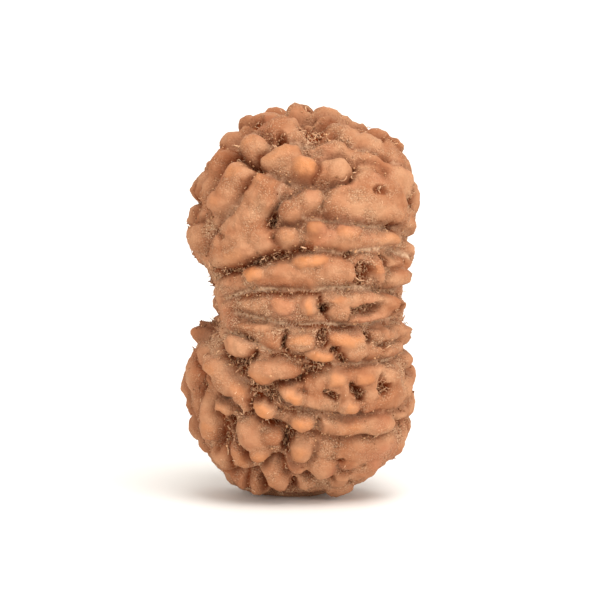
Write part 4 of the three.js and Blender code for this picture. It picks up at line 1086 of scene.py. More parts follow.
    def crevice_field(self, points: np.ndarray) -> tuple[np.ndarray, np.ndarray, np.ndarray]:
        """Measures the crevices, each a narrow cut between wide soft shoulders.

        Args:
            points: Points of the smooth body.

        Returns:
            The depth of the deepest crevice, the share of its narrow cut, and that share of its dust.
        """
        depths = np.zeros(len(points))
        cuts = np.zeros(len(points))
        dusts = np.zeros(len(points))
        for crevice in self.crevices:
            reach = crevice.width * self.shoulder_width * self.shoulder_reach
            low = crevice.points.min(axis=0) - reach
            high = crevice.points.max(axis=0) + reach
            near = np.nonzero(((points > low) & (points < high)).all(axis=1))[0]
            if not len(near):
                continue
            away = crevice.distances(points[near]) / (crevice.width * self.cut_share)
            cut = np.exp(-(away**2))
            shoulder = np.exp(-((away / self.shoulder_width) ** 2))
            shape = (1 - self.shoulder_share) * cut + self.shoulder_share * shoulder
            depth = crevice.depth * shape
            deeper = depth > depths[near]
            depths[near] = np.maximum(depths[near], depth)
            cuts[near] = np.maximum(cuts[near], cut)
            spread_cut = np.exp(-((away / self.dust_width) ** 2))
            dusts[near[deeper]] = (spread_cut * crevice.dust)[deeper]
        return depths, cuts, dusts


class Shade(Enum):
    """The seed's colours, as they look on a screen."""

    BODY = (158, 103, 71)
    BODY_PALE = (182, 133, 99)
    POLISHED = (190, 124, 77)
    ROSY = (178, 104, 78)
    DUST = (208, 174, 142)
    SPECK = (224, 184, 148)
    FLECK = (116, 62, 32)
    # Dark brown of crevices and pits: partly their fibre fill, partly painted shade
    CREVICE_BROWN_AND_SHADE = (102, 38, 4)
    STRAND_PALE = (232, 186, 146)
    STRAND_DARK = (112, 48, 12)
    HAIR_PALE = (238, 204, 170)
    HAIR_DARK = (200, 150, 112)
    CRUMB_PALE = (212, 164, 122)
    CRUMB_DARK = (90, 36, 6)
    FLOOR = (240, 238, 234)
    SURROUND = (255, 250, 242)

    @property
    def linear(self) -> tuple[float, float, float, float]:
        """Returns the colour for a shader."""
        return srgb(*self.value)


def add_node(tree: NodeTree, kind: str, **settings: object) -> Node:
    """Adds a node and sets its properties.

    Args:
        tree: The node tree.
        kind: The node's type name.
        **settings: Properties of the node.

    Returns:
        The new node.
    """
    node = tree.nodes.new(kind)
    for name, value in settings.items():
        setattr(node, name, value)
    return node


def mix_colours(
    tree: NodeTree,
    share: NodeSocket,
    first: NodeSocket | tuple[float, ...],
    second: NodeSocket | tuple[float, ...],
) -> NodeSocket:
    """Mixes two colours by a share.

    Args:
        tree: The node tree.
        share: The share of the second colour.
        first: A colour or a socket that gives one.
        second: A colour or a socket that gives one.

    Returns:
        The socket of the mixed colour.
    """
    node = add_node(tree, "ShaderNodeMix", data_type="RGBA")
    tree.links.new(share, node.inputs[0])
    for value, socket in ((first, node.inputs[6]), (second, node.inputs[7])):
        if isinstance(value, NodeSocket):
            tree.links.new(value, socket)
        else:
            socket.default_value = value
    return node.outputs[2]


def calculate(tree: NodeTree, operation: str, *values: NodeSocket | float) -> NodeSocket:
    """Adds a math node, held between 0 and 1.

    Args:
        tree: The node tree.
        operation: The math operation.
        *values: Numbers or sockets.

    Returns:
        The socket of the result.
    """
    node = add_node(tree, "ShaderNodeMath", operation=operation, use_clamp=True)
    for value, socket in zip(values, node.inputs):
        if isinstance(value, NodeSocket):
            tree.links.new(value, socket)
        else:
            socket.default_value = value
    return node.outputs[0]


def remap(
    tree: NodeTree, value: NodeSocket, low: float, high: float, new_low: float, new_high: float
) -> NodeSocket:
    """Moves a value from one range to another, held within the new one.

    Args:
        tree: The node tree.
        value: The socket of the value.
        low: Start of the old range.
        high: End of the old range.
        new_low: Start of the new range.
        new_high: End of the new range.

    Returns:
        The socket of the moved value.
    """
    node = add_node(tree, "ShaderNodeMapRange")
    tree.links.new(value, node.inputs["Value"])
    for name, number in zip(("From Min", "From Max", "To Min", "To Max"), (low, high, new_low, new_high)):
        node.inputs[name].default_value = number
    return node.outputs["Result"]


def attribute(tree: NodeTree, name: str) -> NodeSocket:
    """Returns the socket of a mask that is stored on the mesh."""
    return add_node(tree, "ShaderNodeAttribute", attribute_name=name).outputs["Fac"]


@dataclass(frozen=True)
class GrainEffect:
    """Fine uneven grain that all finishes share: a height for bump, and blotches, specks and flecks."""

    name: str = "natural_grain"
    default_scales: tuple[tuple[str, float], ...] = (("Grain Scale", 4000.0), ("Blotch Scale", 400.0))
    cell_height: float = 0.6
    blotch_range: tuple[float, ...] = (0.35, 0.65, 0.0, 1.0)
    speck_range: tuple[float, ...] = (0.2, 0.5, 1.0, 0.0)
    fleck_range: tuple[float, ...] = (0.36, 0.42, 1.0, 0.0)

    def tree(self) -> NodeTree:
        """Returns the node group, built on first use."""
        found = bpy.data.node_groups.get(self.name)
        return found if found else self.build()

    def build(self) -> NodeTree:
        """Builds the node group.

        Returns:
            A group with the sizes of grain and blotch in, and a height, blotches, pale specks and dark
            flecks out.
        """
        tree = bpy.data.node_groups.new(self.name, "ShaderNodeTree")
        for name, default in self.default_scales:
            socket = tree.interface.new_socket(name, in_out="INPUT", socket_type="NodeSocketFloat")
            socket.default_value = default
        for name in ("Height", "Blotch", "Specks", "Flecks"):
            tree.interface.new_socket(name, in_out="OUTPUT", socket_type="NodeSocketFloat")
        sizes = add_node(tree, "NodeGroupInput").outputs
        result = add_node(tree, "NodeGroupOutput").inputs
        grain, blotch_size = sizes["Grain Scale"], sizes["Blotch Scale"]
        fine = self.pattern(tree, "ShaderNodeTexNoise", grain, {"Detail": 4.0, "Roughness": 0.6})
        cells = self.pattern(tree, "ShaderNodeTexVoronoi", grain, {"Smoothness": 0.6}, feature="SMOOTH_F1")
        blotch = self.pattern(tree, "ShaderNodeTexNoise", blotch_size, {"Detail": 3.0, "Roughness": 0.55})
        dots = self.pattern(tree, "ShaderNodeTexVoronoi", grain, {}, feature="F1")
        marks = self.pattern(tree, "ShaderNodeTexNoise", grain, {"Detail": 2.0, "Roughness": 0.65})
        bumps = calculate(tree, "MULTIPLY", cells, self.cell_height)
        tree.links.new(calculate(tree, "ADD", fine, bumps), result["Height"])
        tree.links.new(remap(tree, blotch, *self.blotch_range), result["Blotch"])
        tree.links.new(remap(tree, dots, *self.speck_range), result["Specks"])
        tree.links.new(remap(tree, marks, *self.fleck_range), result["Flecks"])
        return tree

    def pattern(
        self, tree: NodeTree, kind: str, scale: NodeSocket, numbers: dict[str, float], **settings: object
    ) -> NodeSocket:
        """Adds a pattern that holds to the object.

        Args:
            tree: The node tree.
            kind: The texture's type name.
            scale: The socket of its scale.
            numbers: Its other numbers, by socket.
            **settings: Properties of the texture.

        Returns:
            The socket of its value.
        """
        texture = add_node(tree, kind, **settings)
        coordinates = add_node(tree, "ShaderNodeTexCoord").outputs["Object"]
        tree.links.new(coordinates, texture.inputs["Vector"])
        tree.links.new(scale, texture.inputs["Scale"])
        for name, number in numbers.items():
            texture.inputs[name].default_value = number
        return texture.outputs[0]

    def place(self, tree: NodeTree, grain_scale: float, blotch_scale: float) -> Node:
        """Places the group in a material.

        Args:
            tree: The material's node tree.
            grain_scale: Grains in a metre.
            blotch_scale: Blotches in a metre.

        Returns:
            The group node.
        """
        node = add_node(tree, "ShaderNodeGroup", node_tree=self.tree())
        node.inputs["Grain Scale"].default_value = grain_scale
        node.inputs["Blotch Scale"].default_value = blotch_scale
        return node


def new_material(name: str) -> tuple[Material, NodeTree, Node]:
    """Starts a material.

    Args:
        name: Its name.

    Returns:
        The material, its node tree and its shader.
    """
    material = bpy.data.materials.new(name)
    material.use_nodes = True
    tree = material.node_tree
    return material, tree, tree.nodes["Principled BSDF"]


def add_bump(
    tree: NodeTree, shader: Node, height: NodeSocket, depth: float, strength: NodeSocket | float
) -> None:
    """Feeds a height to a shader's normal.

    Args:
        tree: The node tree.
        shader: The shader.
        height: The socket of the height.
        depth: Depth of the bumps in metres.
        strength: How strong they are.
    """
    bump = add_node(tree, "ShaderNodeBump")
    bump.inputs["Distance"].default_value = depth
    if isinstance(strength, NodeSocket):
        tree.links.new(strength, bump.inputs["Strength"])
    else:
        bump.inputs["Strength"].default_value = strength
    tree.links.new(height, bump.inputs["Height"])
    tree.links.new(bump.outputs["Normal"], shader.inputs["Normal"])


@dataclass(frozen=True)
class StoneFinish:
    """The matt to waxy brown of the stone: polished knobs, dusty lines, fine powder, and crevices and pits
    darkened partly for their dark brown fill and partly as painted shade.

    Each range gives where a mask or height starts and ends, and what it starts and ends as.
    """

    name: str = "seed_stone"
    grain_scale: float = 5200.0
    blotch_scale: float = 330.0
    broader: float = 3.0
    bump_depth: float = 0.0003
    bump_range: tuple[float, ...] = (0.0, 0.5, 0.35, 1.0)
    dust_range: tuple[float, ...] = (0.45, 0.95, 0.45, 1.1)
    brown_and_shade_range: tuple[float, ...] = (0.4, 0.9, 1.3, 0.8)
    waxy_range: tuple[float, ...] = (0.0, 1.0, 0.66, 0.46)
    dull_roughness: float = 0.92
    specular: float = 0.05
    sheen: float = 0.3
    sheen_roughness: float = 0.42

    def build(self, grain: GrainEffect) -> Material:
        """Builds the material.

        Args:
            grain: The shared grain.

        Returns:
            The material.
        """
        material, tree, shader = new_material(self.name)
        texture = grain.place(tree, self.grain_scale, self.blotch_scale).outputs
        broad = grain.place(tree, self.grain_scale / self.broader, self.blotch_scale / self.broader).outputs
        masks = ("polish", "dust", "crevice_brown_and_shade", "rosy", "powder")
        polish, dust, crevice_brown_and_shade, rosy, powder = [attribute(tree, name) for name in masks]
        colour = mix_colours(tree, texture["Blotch"], Shade.BODY.linear, Shade.BODY_PALE.linear)
        broken_dust = remap(tree, texture["Height"], *self.dust_range)
        # The darkening of crevices and pits below is partly their dark brown fill and partly painted shade
        broken_brown_and_shade = remap(tree, texture["Height"], *self.brown_and_shade_range)
        layers = (
            (calculate(tree, "MULTIPLY", rosy, broad["Blotch"]), Shade.ROSY),
            (polish, Shade.POLISHED),
            (calculate(tree, "MULTIPLY", dust, broken_dust), Shade.DUST),
            (calculate(tree, "MULTIPLY", crevice_brown_and_shade, broken_brown_and_shade), Shade.CREVICE_BROWN_AND_SHADE),
            (calculate(tree, "MULTIPLY", powder, texture["Flecks"]), Shade.FLECK),
            (calculate(tree, "MULTIPLY", powder, texture["Specks"]), Shade.SPECK),
        )
        for share, shade in layers:
            colour = mix_colours(tree, share, colour, shade.linear)
        tree.links.new(colour, shader.inputs["Base Color"])
        rough = add_node(tree, "ShaderNodeMix", data_type="FLOAT")
        tree.links.new(calculate(tree, "MAXIMUM", dust, crevice_brown_and_shade), rough.inputs[0])
        tree.links.new(remap(tree, polish, *self.waxy_range), rough.inputs[2])
        rough.inputs[3].default_value = self.dull_roughness
        tree.links.new(rough.outputs[0], shader.inputs["Roughness"])
        shader.inputs["Specular IOR Level"].default_value = self.specular
        tree.links.new(calculate(tree, "MULTIPLY", polish, self.sheen), shader.inputs["Coat Weight"])
        shader.inputs["Coat Roughness"].default_value = self.sheen_roughness
        strength = remap(tree, powder, *self.bump_range)
        add_bump(tree, shader, texture["Height"], self.bump_depth, strength)
        return material


@dataclass(frozen=True)
class StrandFinish:
    """Dry fibre and flesh, from pale straw to dark brown, each strand or crumb in its own tone."""

    name: str
    pale: Shade
    dark: Shade
    grain_scale: float = 9000.0
    blotch_scale: float = 900.0
    blotch_share: float = 0.25
    rough_range: tuple[float, ...] = (0.3, 1.0, 0.7, 0.95)
    specular: float = 0.04
    bump_depth: float = 0.00003
    bump_strength: float = 0.6

    def build(self, grain: GrainEffect) -> Material:
        """Builds the material.

        Args:
            grain: The shared grain.

        Returns:
            The material.
        """
        material, tree, shader = new_material(self.name)
        texture = grain.place(tree, self.grain_scale, self.blotch_scale).outputs
        tone = calculate(tree, "MULTIPLY_ADD", texture["Blotch"], self.blotch_share, attribute(tree, "tone"))
        colour = mix_colours(tree, tone, self.dark.linear, self.pale.linear)
        tree.links.new(colour, shader.inputs["Base Color"])
        tree.links.new(remap(tree, texture["Height"], *self.rough_range), shader.inputs["Roughness"])
        shader.inputs["Specular IOR Level"].default_value = self.specular
        add_bump(tree, shader, texture["Height"], self.bump_depth, self.bump_strength)
        return material


@dataclass(frozen=True)
class FloorFinish:
    """A plain pale studio floor."""

    name: str = "studio_floor"
    grain_scale: float = 900.0
    blotch_scale: float = 12.0
    rough_range: tuple[float, ...] = (0.0, 1.0, 0.6, 0.68)

    def build(self, grain: GrainEffect) -> Material:
        """Builds the material.

        Args:
            grain: The shared grain.

        Returns:
            The material.
        """
        material, tree, shader = new_material(self.name)
        texture = grain.place(tree, self.grain_scale, self.blotch_scale).outputs
        shader.inputs["Base Color"].default_value = Shade.FLOOR.linear
        tree.links.new(remap(tree, texture["Blotch"], *self.rough_range), shader.inputs["Roughness"])
        return material


def make_object(
    name: str, places: np.ndarray, faces: np.ndarray, masks: dict[str, np.ndarray], smooth: bool = True
) -> Object:
    """Makes a mesh object from millimetres, with masks on its points.

    Args:
        name: The object's name.
        places: Points in millimetres.
        faces: Rows of point numbers, all with the same count of corners.
        masks: Numbers for each point, by name.
        smooth: Whether it is shaded smooth.

    Returns:
        The object.
    """
    mesh = bpy.data.meshes.new(name)
    count, corners = faces.shape
    mesh.vertices.add(len(places))
    mesh.vertices.foreach_set("co", (places * MM).astype(np.float32).ravel())
    mesh.loops.add(count * corners)
    mesh.loops.foreach_set("vertex_index", faces.astype(np.int32).ravel())
    mesh.polygons.add(count)
    mesh.polygons.foreach_set("loop_start", np.arange(0, count * corners, corners, dtype=np.int32))
    mesh.polygons.foreach_set("use_smooth", np.full(count, smooth))
    mesh.update(calc_edges=True)
    mesh.validate()
    for mask, values in masks.items():
        layer = mesh.attributes.new(mask, "FLOAT", "POINT")
        layer.data.foreach_set("value", values.astype(np.float32))
    piece = bpy.data.objects.new(name, mesh)
    bpy.context.scene.collection.objects.link(piece)
    return piece


@dataclass(frozen=True)
class NaturalNoise:
    """Natural noise between about -1 and 1: its largest lumps in millimetres, finer layers and a shift."""

    size: float
    layers: int
    shift: float = 0.0

    def at(self, points: np.ndarray) -> np.ndarray:
        """Returns the noise at each point in millimetres."""
        places = [Vector(point / self.size + self.shift) for point in points]
        return np.array([noise.fractal(place, 1.0, 2.0, self.layers) for place in places])


def wander(points: np.ndarray, size: float) -> np.ndarray:
    """Returns a natural nudge, each way between about -1 and 1, at each point in millimetres."""
    return np.stack([NaturalNoise(size, 2, shift).at(points) for shift in NUDGE_SHIFTS], axis=-1)


def mesh_normals(places: np.ndarray, faces: np.ndarray) -> np.ndarray:
    """Finds the normals of a four-cornered mesh.

    Args:
        places: Its points.
        faces: Its faces.

    Returns:
        The normal at each point.
    """
    corners = places[faces]
    across = np.cross(corners[:, 2] - corners[:, 0], corners[:, 3] - corners[:, 1])
    total = np.zeros_like(places)
    for corner in range(4):
        np.add.at(total, faces[:, corner], across)
    return unit(total + TINY)


@dataclass
class ReliefShares:
    """What the relief is at each point of the smooth body: knobs, polish, cuts, dust and pits."""

    rise: np.ndarray
    polish: np.ndarray
    cut: np.ndarray
    dust: np.ndarray
    pit: np.ndarray

    @property
    def sunk(self) -> np.ndarray:
        """Returns how far each point is cut or pitted."""
        return np.clip(np.maximum(self.cut, self.pit), 0, 1)


@dataclass(frozen=True)
class Weathering:
    """Where the stone is waxy, dusty, rosy or powdered, and where its crevices and pits darken, partly for
    their brown fill and partly as painted shade, after its relief and natural noise.
    """

    clouds: NaturalNoise = NaturalNoise(4.0, 3, 17.0)
    cloud_mean: float = 0.55
    scatter: NaturalNoise = NaturalNoise(1.4, 2, 41.0)
    scatter_mean: float = 0.65
    scatter_swing: float = 1.4
    scatter_limits: tuple[float, float] = (0.05, 1.3)
    wax: NaturalNoise = NaturalNoise(1.5, 2, 11.0)
    wax_mean: float = 0.8
    rosy: NaturalNoise = NaturalNoise(3.0, 2, 23.0)
    rosy_swing: float = 2.0
    rosy_cut: float = 0.2
    rosy_share: float = 0.3
    valley_height: float = 0.75
    dust_least: float = 0.6
    dust_by_cloud: float = 0.7
    valley_dust: float = 0.15
    pit_dust_loss: float = 0.8
    brown_and_shade_gain: float = 0.8
    dust_cover: float = 1.3
    dust_hides: float = 0.85
    knob_powder: float = 0.32
    valley_powder: float = 0.9
    cloud_powder: float = 0.35
    wax_repels: float = 0.85

    def masks(self, smooth: np.ndarray, relief: ReliefShares) -> dict[str, np.ndarray]:
        """Works out the finish's masks.

        Args:
            smooth: Points of the smooth body.
            relief: The relief there.

        Returns:
            The share of each mask at each point, by name.
        """
        valley = np.clip((self.valley_height - relief.rise) / self.valley_height, 0, 1)
        clouds = np.clip(self.cloud_mean + self.clouds.at(smooth), 0, 1)
        scatter = self.scatter_mean + self.scatter_swing * self.scatter.at(smooth)
        scatter = np.clip(scatter, *self.scatter_limits)
        wax = np.clip(self.wax_mean + self.wax.at(smooth), 0, 1)
        rosy = np.clip(self.rosy.at(smooth) * self.rosy_swing - self.rosy_cut, 0, 1)
        level = 1 - relief.sunk
        dust = relief.dust * (self.dust_least + self.dust_by_cloud * clouds)
        dust = dust + self.valley_dust * valley * clouds - self.pit_dust_loss * relief.pit
        covered = self.dust_hides * np.clip(relief.dust * self.dust_cover, 0, 1)
        # Crevices and pits darkened partly for their brown fill and partly with painted shade
        dark = np.maximum(relief.cut**self.brown_and_shade_gain * (1 - covered), relief.pit)
        powder = scatter * (self.knob_powder + self.valley_powder * valley) * (self.cloud_powder + clouds)
        powder = powder * (1 - self.wax_repels * relief.polish) * level
        return {
            "polish": relief.polish * level * wax,
            "dust": np.clip(dust, 0, 1),
            "crevice_brown_and_shade": np.clip(dark, 0, 1),
            "rosy": self.rosy_share * rosy,
            "powder": np.clip(powder, 0, 1),
        }


@dataclass
class StoneSurface:
    """The stone's finished surface, for what clings to it: points, normals, shelter, dust and powder."""

    places: np.ndarray
    normals: np.ndarray
    pits: np.ndarray
    cuts: np.ndarray
    dust: np.ndarray
    mouth: np.ndarray
    powder: np.ndarray


@dataclass
class SeedStone:
    """The seed's own body: the fine mesh that stands for the solid."""

    relief: Relief
    weathering: Weathering = Weathering()
    face_cuts: int = 128
    end_closeness: float = 1.2
    front_closeness: float = 0.25
    warp: float = 0.2
    warp_size: float = 2.4
    fray: float = 0.2
    fray_size: float = 0.9
    crevice_warp: float = 0.5
    full_pit: float = 0.7
    full_hollow: float = 0.5
    lumps: NaturalNoise = NaturalNoise(1.9, 3)
    lump_rise: float = 0.16
    lump_polish_loss: float = 0.5
    grain: NaturalNoise = NaturalNoise(0.6, 3, 7.3)
    grain_rise: float = 0.16
    grain_polish_loss: float = 0.7
    rubble: NaturalNoise = NaturalNoise(0.5, 3, 3.1)
    rubble_rise: float = 0.3
    filled_cut: float = 0.75
    filling: float = 1.5
    mouth_reach: float = 15.0

    def directions(self) -> tuple[np.ndarray, np.ndarray]:
        """Spreads directions over a ball, closer at the two ends and on the front.

        Returns:
            The directions and the four-cornered faces between them.
        """
        count = self.face_cuts + 1
        line = np.tan(np.linspace(-math.pi / 4, math.pi / 4, count))
        right, up = np.meshgrid(line, line, indexing="ij")
        one = np.ones_like(right)
        sides = (
            (one, right, up), (-one, up, right), (up, one, right),
            (right, -one, up), (right, up, one), (up, right, -one),
        )
        grid = np.arange(count * count).reshape(count, count)
        square = np.stack([grid[:-1, :-1], grid[1:, :-1], grid[1:, 1:], grid[:-1, 1:]], axis=-1)
        square = square.reshape(-1, 4)
        ways = unit(np.concatenate([np.stack(side, axis=-1).reshape(-1, 3) for side in sides]))
        faces = np.concatenate([square + number * count * count for number in range(len(sides))])
        _, first, number = np.unique(np.round(ways, 6), axis=0, return_index=True, return_inverse=True)
        ways = unit(ways[first] * np.array([1, 1, self.end_closeness]))
        return unit(ways - np.array([0, self.front_closeness, 0])), number.reshape(-1)[faces]

    def build(self) -> tuple[Object, StoneSurface]:
        """Builds the mesh with its masks.

        Returns:
            The seed's object and its surface.
        """
        ways, faces = self.directions()
        body = self.relief.body
        smooth = body.point(ways)
        normal = body.normal(smooth)
        warped = smooth + self.warp * wander(smooth, self.warp_size)
        warped += self.fray * wander(smooth, self.fray_size)
        rise = self.relief.knob_field(warped, normal)
        polish = self.relief.polish_field(warped, normal)
        pits = self.relief.pit_field(warped, normal)
        depth, cut, dust = self.relief.crevice_field(smooth + self.crevice_warp * (warped - smooth))
        hollows = self.relief.hollow_field(warped, normal, rise)
        pit_share = np.clip(np.maximum(pits / self.full_pit, hollows / self.full_hollow), 0, 1)
        shares = ReliefShares(rise, polish, cut, dust, pit_share)
        lumps = self.lumps.at(smooth) * self.lump_rise * (1 - self.lump_polish_loss * polish)
        grain = self.grain.at(smooth) * self.grain_rise * (1 - self.grain_polish_loss * polish)
        rubble = self.rubble.at(smooth) * self.rubble_rise * shares.sunk
        sunk = depth + np.maximum(pits, hollows)
        places = smooth + normal * (rise - sunk + lumps + grain + rubble)[:, None]
        places[:, 2] = np.maximum(places[:, 2] + body.middle, 0)
        places[:, 2] *= self.relief.above_foot(smooth)
        middle = (places.min(axis=0) + places.max(axis=0)) / 2
        places[:, :2] -= middle[:2]
        masks = self.weathering.masks(smooth, shares)
        from_mouth = np.degrees(np.arccos(np.clip(np.abs(unit(smooth) @ body.channel_left), 0, 1)))
        mouth = np.exp(-((from_mouth / self.mouth_reach) ** 2))
        open_cut = cut * (1 - self.filled_cut * np.clip(dust * self.filling, 0, 1))
        LOG.info("stone: %d points, %d faces", len(places), len(faces))
        normals = mesh_normals(places, faces)
        surface = StoneSurface(places, normals, pit_share, open_cut, dust, mouth, masks["powder"])
        return make_object("seed_stone_surface", places, faces, masks), surface


@dataclass(frozen=True)
class Shelter:
    """How much each kind of place holds what clings. More gathering keeps to the deepest pits and cuts."""

    pits: float
    cuts: float
    dust: float
    mouth: float
    powder: float = 0.0
    elsewhere: float = 0.0
    gathering: int = 1
    ground_clearance: float = 0.6

    def roots(self, surface: StoneSurface, draws: np.random.Generator, count: int) -> np.ndarray:
        """Draws the points of the surface that things cling to.

        Args:
            surface: The stone's surface.
            draws: The draws to use.
            count: How many points to draw.

        Returns:
            The numbers of the points.
        """
        masks = (surface.pits**self.gathering, surface.cuts**self.gathering, surface.dust, surface.mouth)
        shares = (self.pits, self.cuts, self.dust, self.mouth)
        weight = sum(share * mask for share, mask in zip(shares, masks))
        weight = weight + self.powder * surface.powder + self.elsewhere
        weight[surface.places[:, 2] < self.ground_clearance] = 0
        return draws.choice(len(weight), count, p=weight / weight.sum())


@dataclass(frozen=True)
class Strands:
    """Short curled strands of dry fibre that cling to the stone."""

    name: str
    count: int
    seed: int
    thickness: tuple[float, float]
    length: tuple[float, float]
    shelter: Shelter
    curl: float
    lift: float = 0.6
    knots: int = 6
    sides: int = 3
    shortness: float = 1.6
    root_depth: float = 0.05
    curl_upright: float = 0.6
    waver: float = 0.22
    sag: float = 0.08
    lowest: float = 0.1
    taper_at: tuple[float, ...] = (0, 0.4, 0.6, 1)
    taper: tuple[float, ...] = (0.8, 1.05, 1.0, 0.4)
    tone_shape: tuple[float, float] = (1.2, 1.8)
    short_tone: float = 0.55
    long_tone: float = 0.65

    def build(self, surface: StoneSurface) -> Object:
        """Builds all strands as one mesh.

        Args:
            surface: The stone's surface.

        Returns:
            The strands' object.
        """
        draws = np.random.default_rng(self.seed)
        roots = self.shelter.roots(surface, draws, self.count)
        start, normal = surface.places[roots], surface.normals[roots]
        size = draws.uniform(0, 1, (self.count, 1)) ** self.shortness
        length = self.length[0] + (self.length[1] - self.length[0]) * size
        step = length / (self.knots - 1)
        sideways = unit(np.cross(normal, draws.normal(size=(self.count, 3))))
        heading = unit(sideways + normal * draws.uniform(0.0, self.lift, (self.count, 1)))
        curl_axis = unit(draws.normal(size=(self.count, 3)) + self.curl_upright * normal)
        curl = draws.normal(0.0, self.curl, (self.count, 1))
        spine = [start - normal * self.root_depth]
        for _ in range(self.knots - 1):
            spine.append(spine[-1] + heading * step)
            turn = np.cross(curl_axis, heading) * curl + draws.normal(0, self.waver, (self.count, 3))
            heading = unit(heading + turn - normal * self.sag)
        centres = np.stack(spine, axis=1)
        centres[..., 2] = np.maximum(centres[..., 2], self.lowest)
        radius = draws.uniform(*self.thickness, (self.count, 1)) / 2
        taper = np.interp(np.linspace(0, 1, self.knots), self.taper_at, self.taper)
        places, faces = sweep(centres, radius * taper, self.sides)
        tone = draws.beta(*self.tone_shape, self.count)
        tone = np.clip(tone * (self.short_tone + self.long_tone * np.clip(size[:, 0] * 2, 0, 1)), 0, 1)
        return make_object(self.name, places, faces, {"tone": np.repeat(tone, self.knots * self.sides)})


def sweep(centres: np.ndarray, radii: np.ndarray, sides: int) -> tuple[np.ndarray, np.ndarray]:
    """Sweeps closed tubes along many spines at once.

    Args:
        centres: Points of each spine.
        radii: Radius at each point.
        sides: Sides of a tube.

    Returns:
        The points and the triangles.
    """
    count, knots = radii.shape
    ahead = unit(np.gradient(centres, axis=1))
    level = unit(np.cross(ahead, np.array(SWEEP_REFERENCE)))
    across = np.cross(ahead, level)
    turns = np.arange(sides) * 2 * math.pi / sides
    ring = level[:, :, None] * np.cos(turns)[:, None] + across[:, :, None] * np.sin(turns)[:, None]
    places = centres[:, :, None] + ring * radii[:, :, None, None]
    one = []
    for knot in range(knots - 1):
        for side in range(sides):
            a, b = knot * sides + side, knot * sides + (side + 1) % sides
            one += [(a, b, b + sides), (a, b + sides, a + sides)]
    last = (knots - 1) * sides
    one += [(0, side + 1, side) for side in range(1, sides - 1)]
    one += [(last, last + side, last + side + 1) for side in range(1, sides - 1)]
    shifts = np.arange(count)[:, None, None] * knots * sides
    return places.reshape(-1, 3), (np.array(one)[None] + shifts).reshape(-1, 3)


@dataclass(frozen=True)
class Crumbs:
    """Crumbs of dried fruit flesh, each a dented ball of twenty faces, lying in the crevices and pits."""

    name: str = "dry_crumbs"
    count: int = 7000
    seed: int = 5
    shelter: Shelter = Shelter(1.0, 0.9, 0.45, 0.6, elsewhere=0.004)
    sizes: tuple[float, float] = (0.05, 0.15)
    smallness: float = 2.5
    stretch: tuple[float, float] = (0.55, 1.25)
    dents: tuple[float, float] = (0.7, 1.15)
    standing: float = 0.3
    lowest: float = 0.02
    tone_shape: tuple[float, float] = (1.2, 1.6)

    def ball(self) -> tuple[np.ndarray, np.ndarray]:
        """Makes an even ball of twenty triangles.

        Returns:
            Its corners and its faces.
        """
        golden = (1 + math.sqrt(5)) / 2
        corners = unit(np.array([
            (-1, golden, 0), (1, golden, 0), (-1, -golden, 0), (1, -golden, 0),
            (0, -1, golden), (0, 1, golden), (0, -1, -golden), (0, 1, -golden),
            (golden, 0, -1), (golden, 0, 1), (-golden, 0, -1), (-golden, 0, 1),
        ]))
        faces = np.array([
            (0, 11, 5), (0, 5, 1), (0, 1, 7), (0, 7, 10), (0, 10, 11), (1, 5, 9), (5, 11, 4), (11, 10, 2),
            (10, 7, 6), (7, 1, 8), (3, 9, 4), (3, 4, 2), (3, 2, 6), (3, 6, 8), (3, 8, 9), (4, 9, 5),
            (2, 4, 11), (6, 2, 10), (8, 6, 7), (9, 8, 1),
        ])
        return corners, faces

    def build(self, surface: StoneSurface) -> Object:
        """Builds all crumbs as one mesh.

        Args:
            surface: The stone's surface.

        Returns:
            The crumbs' object.
        """
        draws = np.random.default_rng(self.seed)
        roots = self.shelter.roots(surface, draws, self.count)
        corners, faces = self.ball()
        share = draws.uniform(0, 1, (self.count, 1, 1)) ** self.smallness
        size = self.sizes[0] + (self.sizes[1] - self.sizes[0]) * share
        stretch = draws.uniform(*self.stretch, (self.count, 1, 3))
        dents = draws.uniform(*self.dents, (self.count, len(corners), 1))
        centres = surface.places[roots] + surface.normals[roots] * self.standing * size[:, 0]
        places = centres[:, None] + corners[None] * size * stretch * dents
        places[..., 2] = np.maximum(places[..., 2], self.lowest)
        shifts = np.arange(self.count)[:, None, None] * len(corners)
        tone = np.repeat(draws.beta(*self.tone_shape, self.count), len(corners))
        triangles = (faces[None] + shifts).reshape(-1, 3)
        return make_object(self.name, places.reshape(-1, 3), triangles, {"tone": tone})


@dataclass(frozen=True)
class SoftLight:
    """A square soft light: its place, its size in metres, its power in watts and the point it faces."""

    name: str
    place: tuple[float, float, float]
    size: float
    power: float
    target: tuple[float, float, float]

    def hang(self) -> None:
        """Hangs the light, turned to its target."""
        light = bpy.data.lights.new(self.name, "AREA")
        light.size = self.size
        light.energy = self.power
        holder = bpy.data.objects.new(self.name, light)
        holder.location = self.place
        aim = Vector(self.target) - holder.location
        holder.rotation_euler = aim.to_track_quat("-Z", "Y").to_euler()
        bpy.context.scene.collection.objects.link(holder)


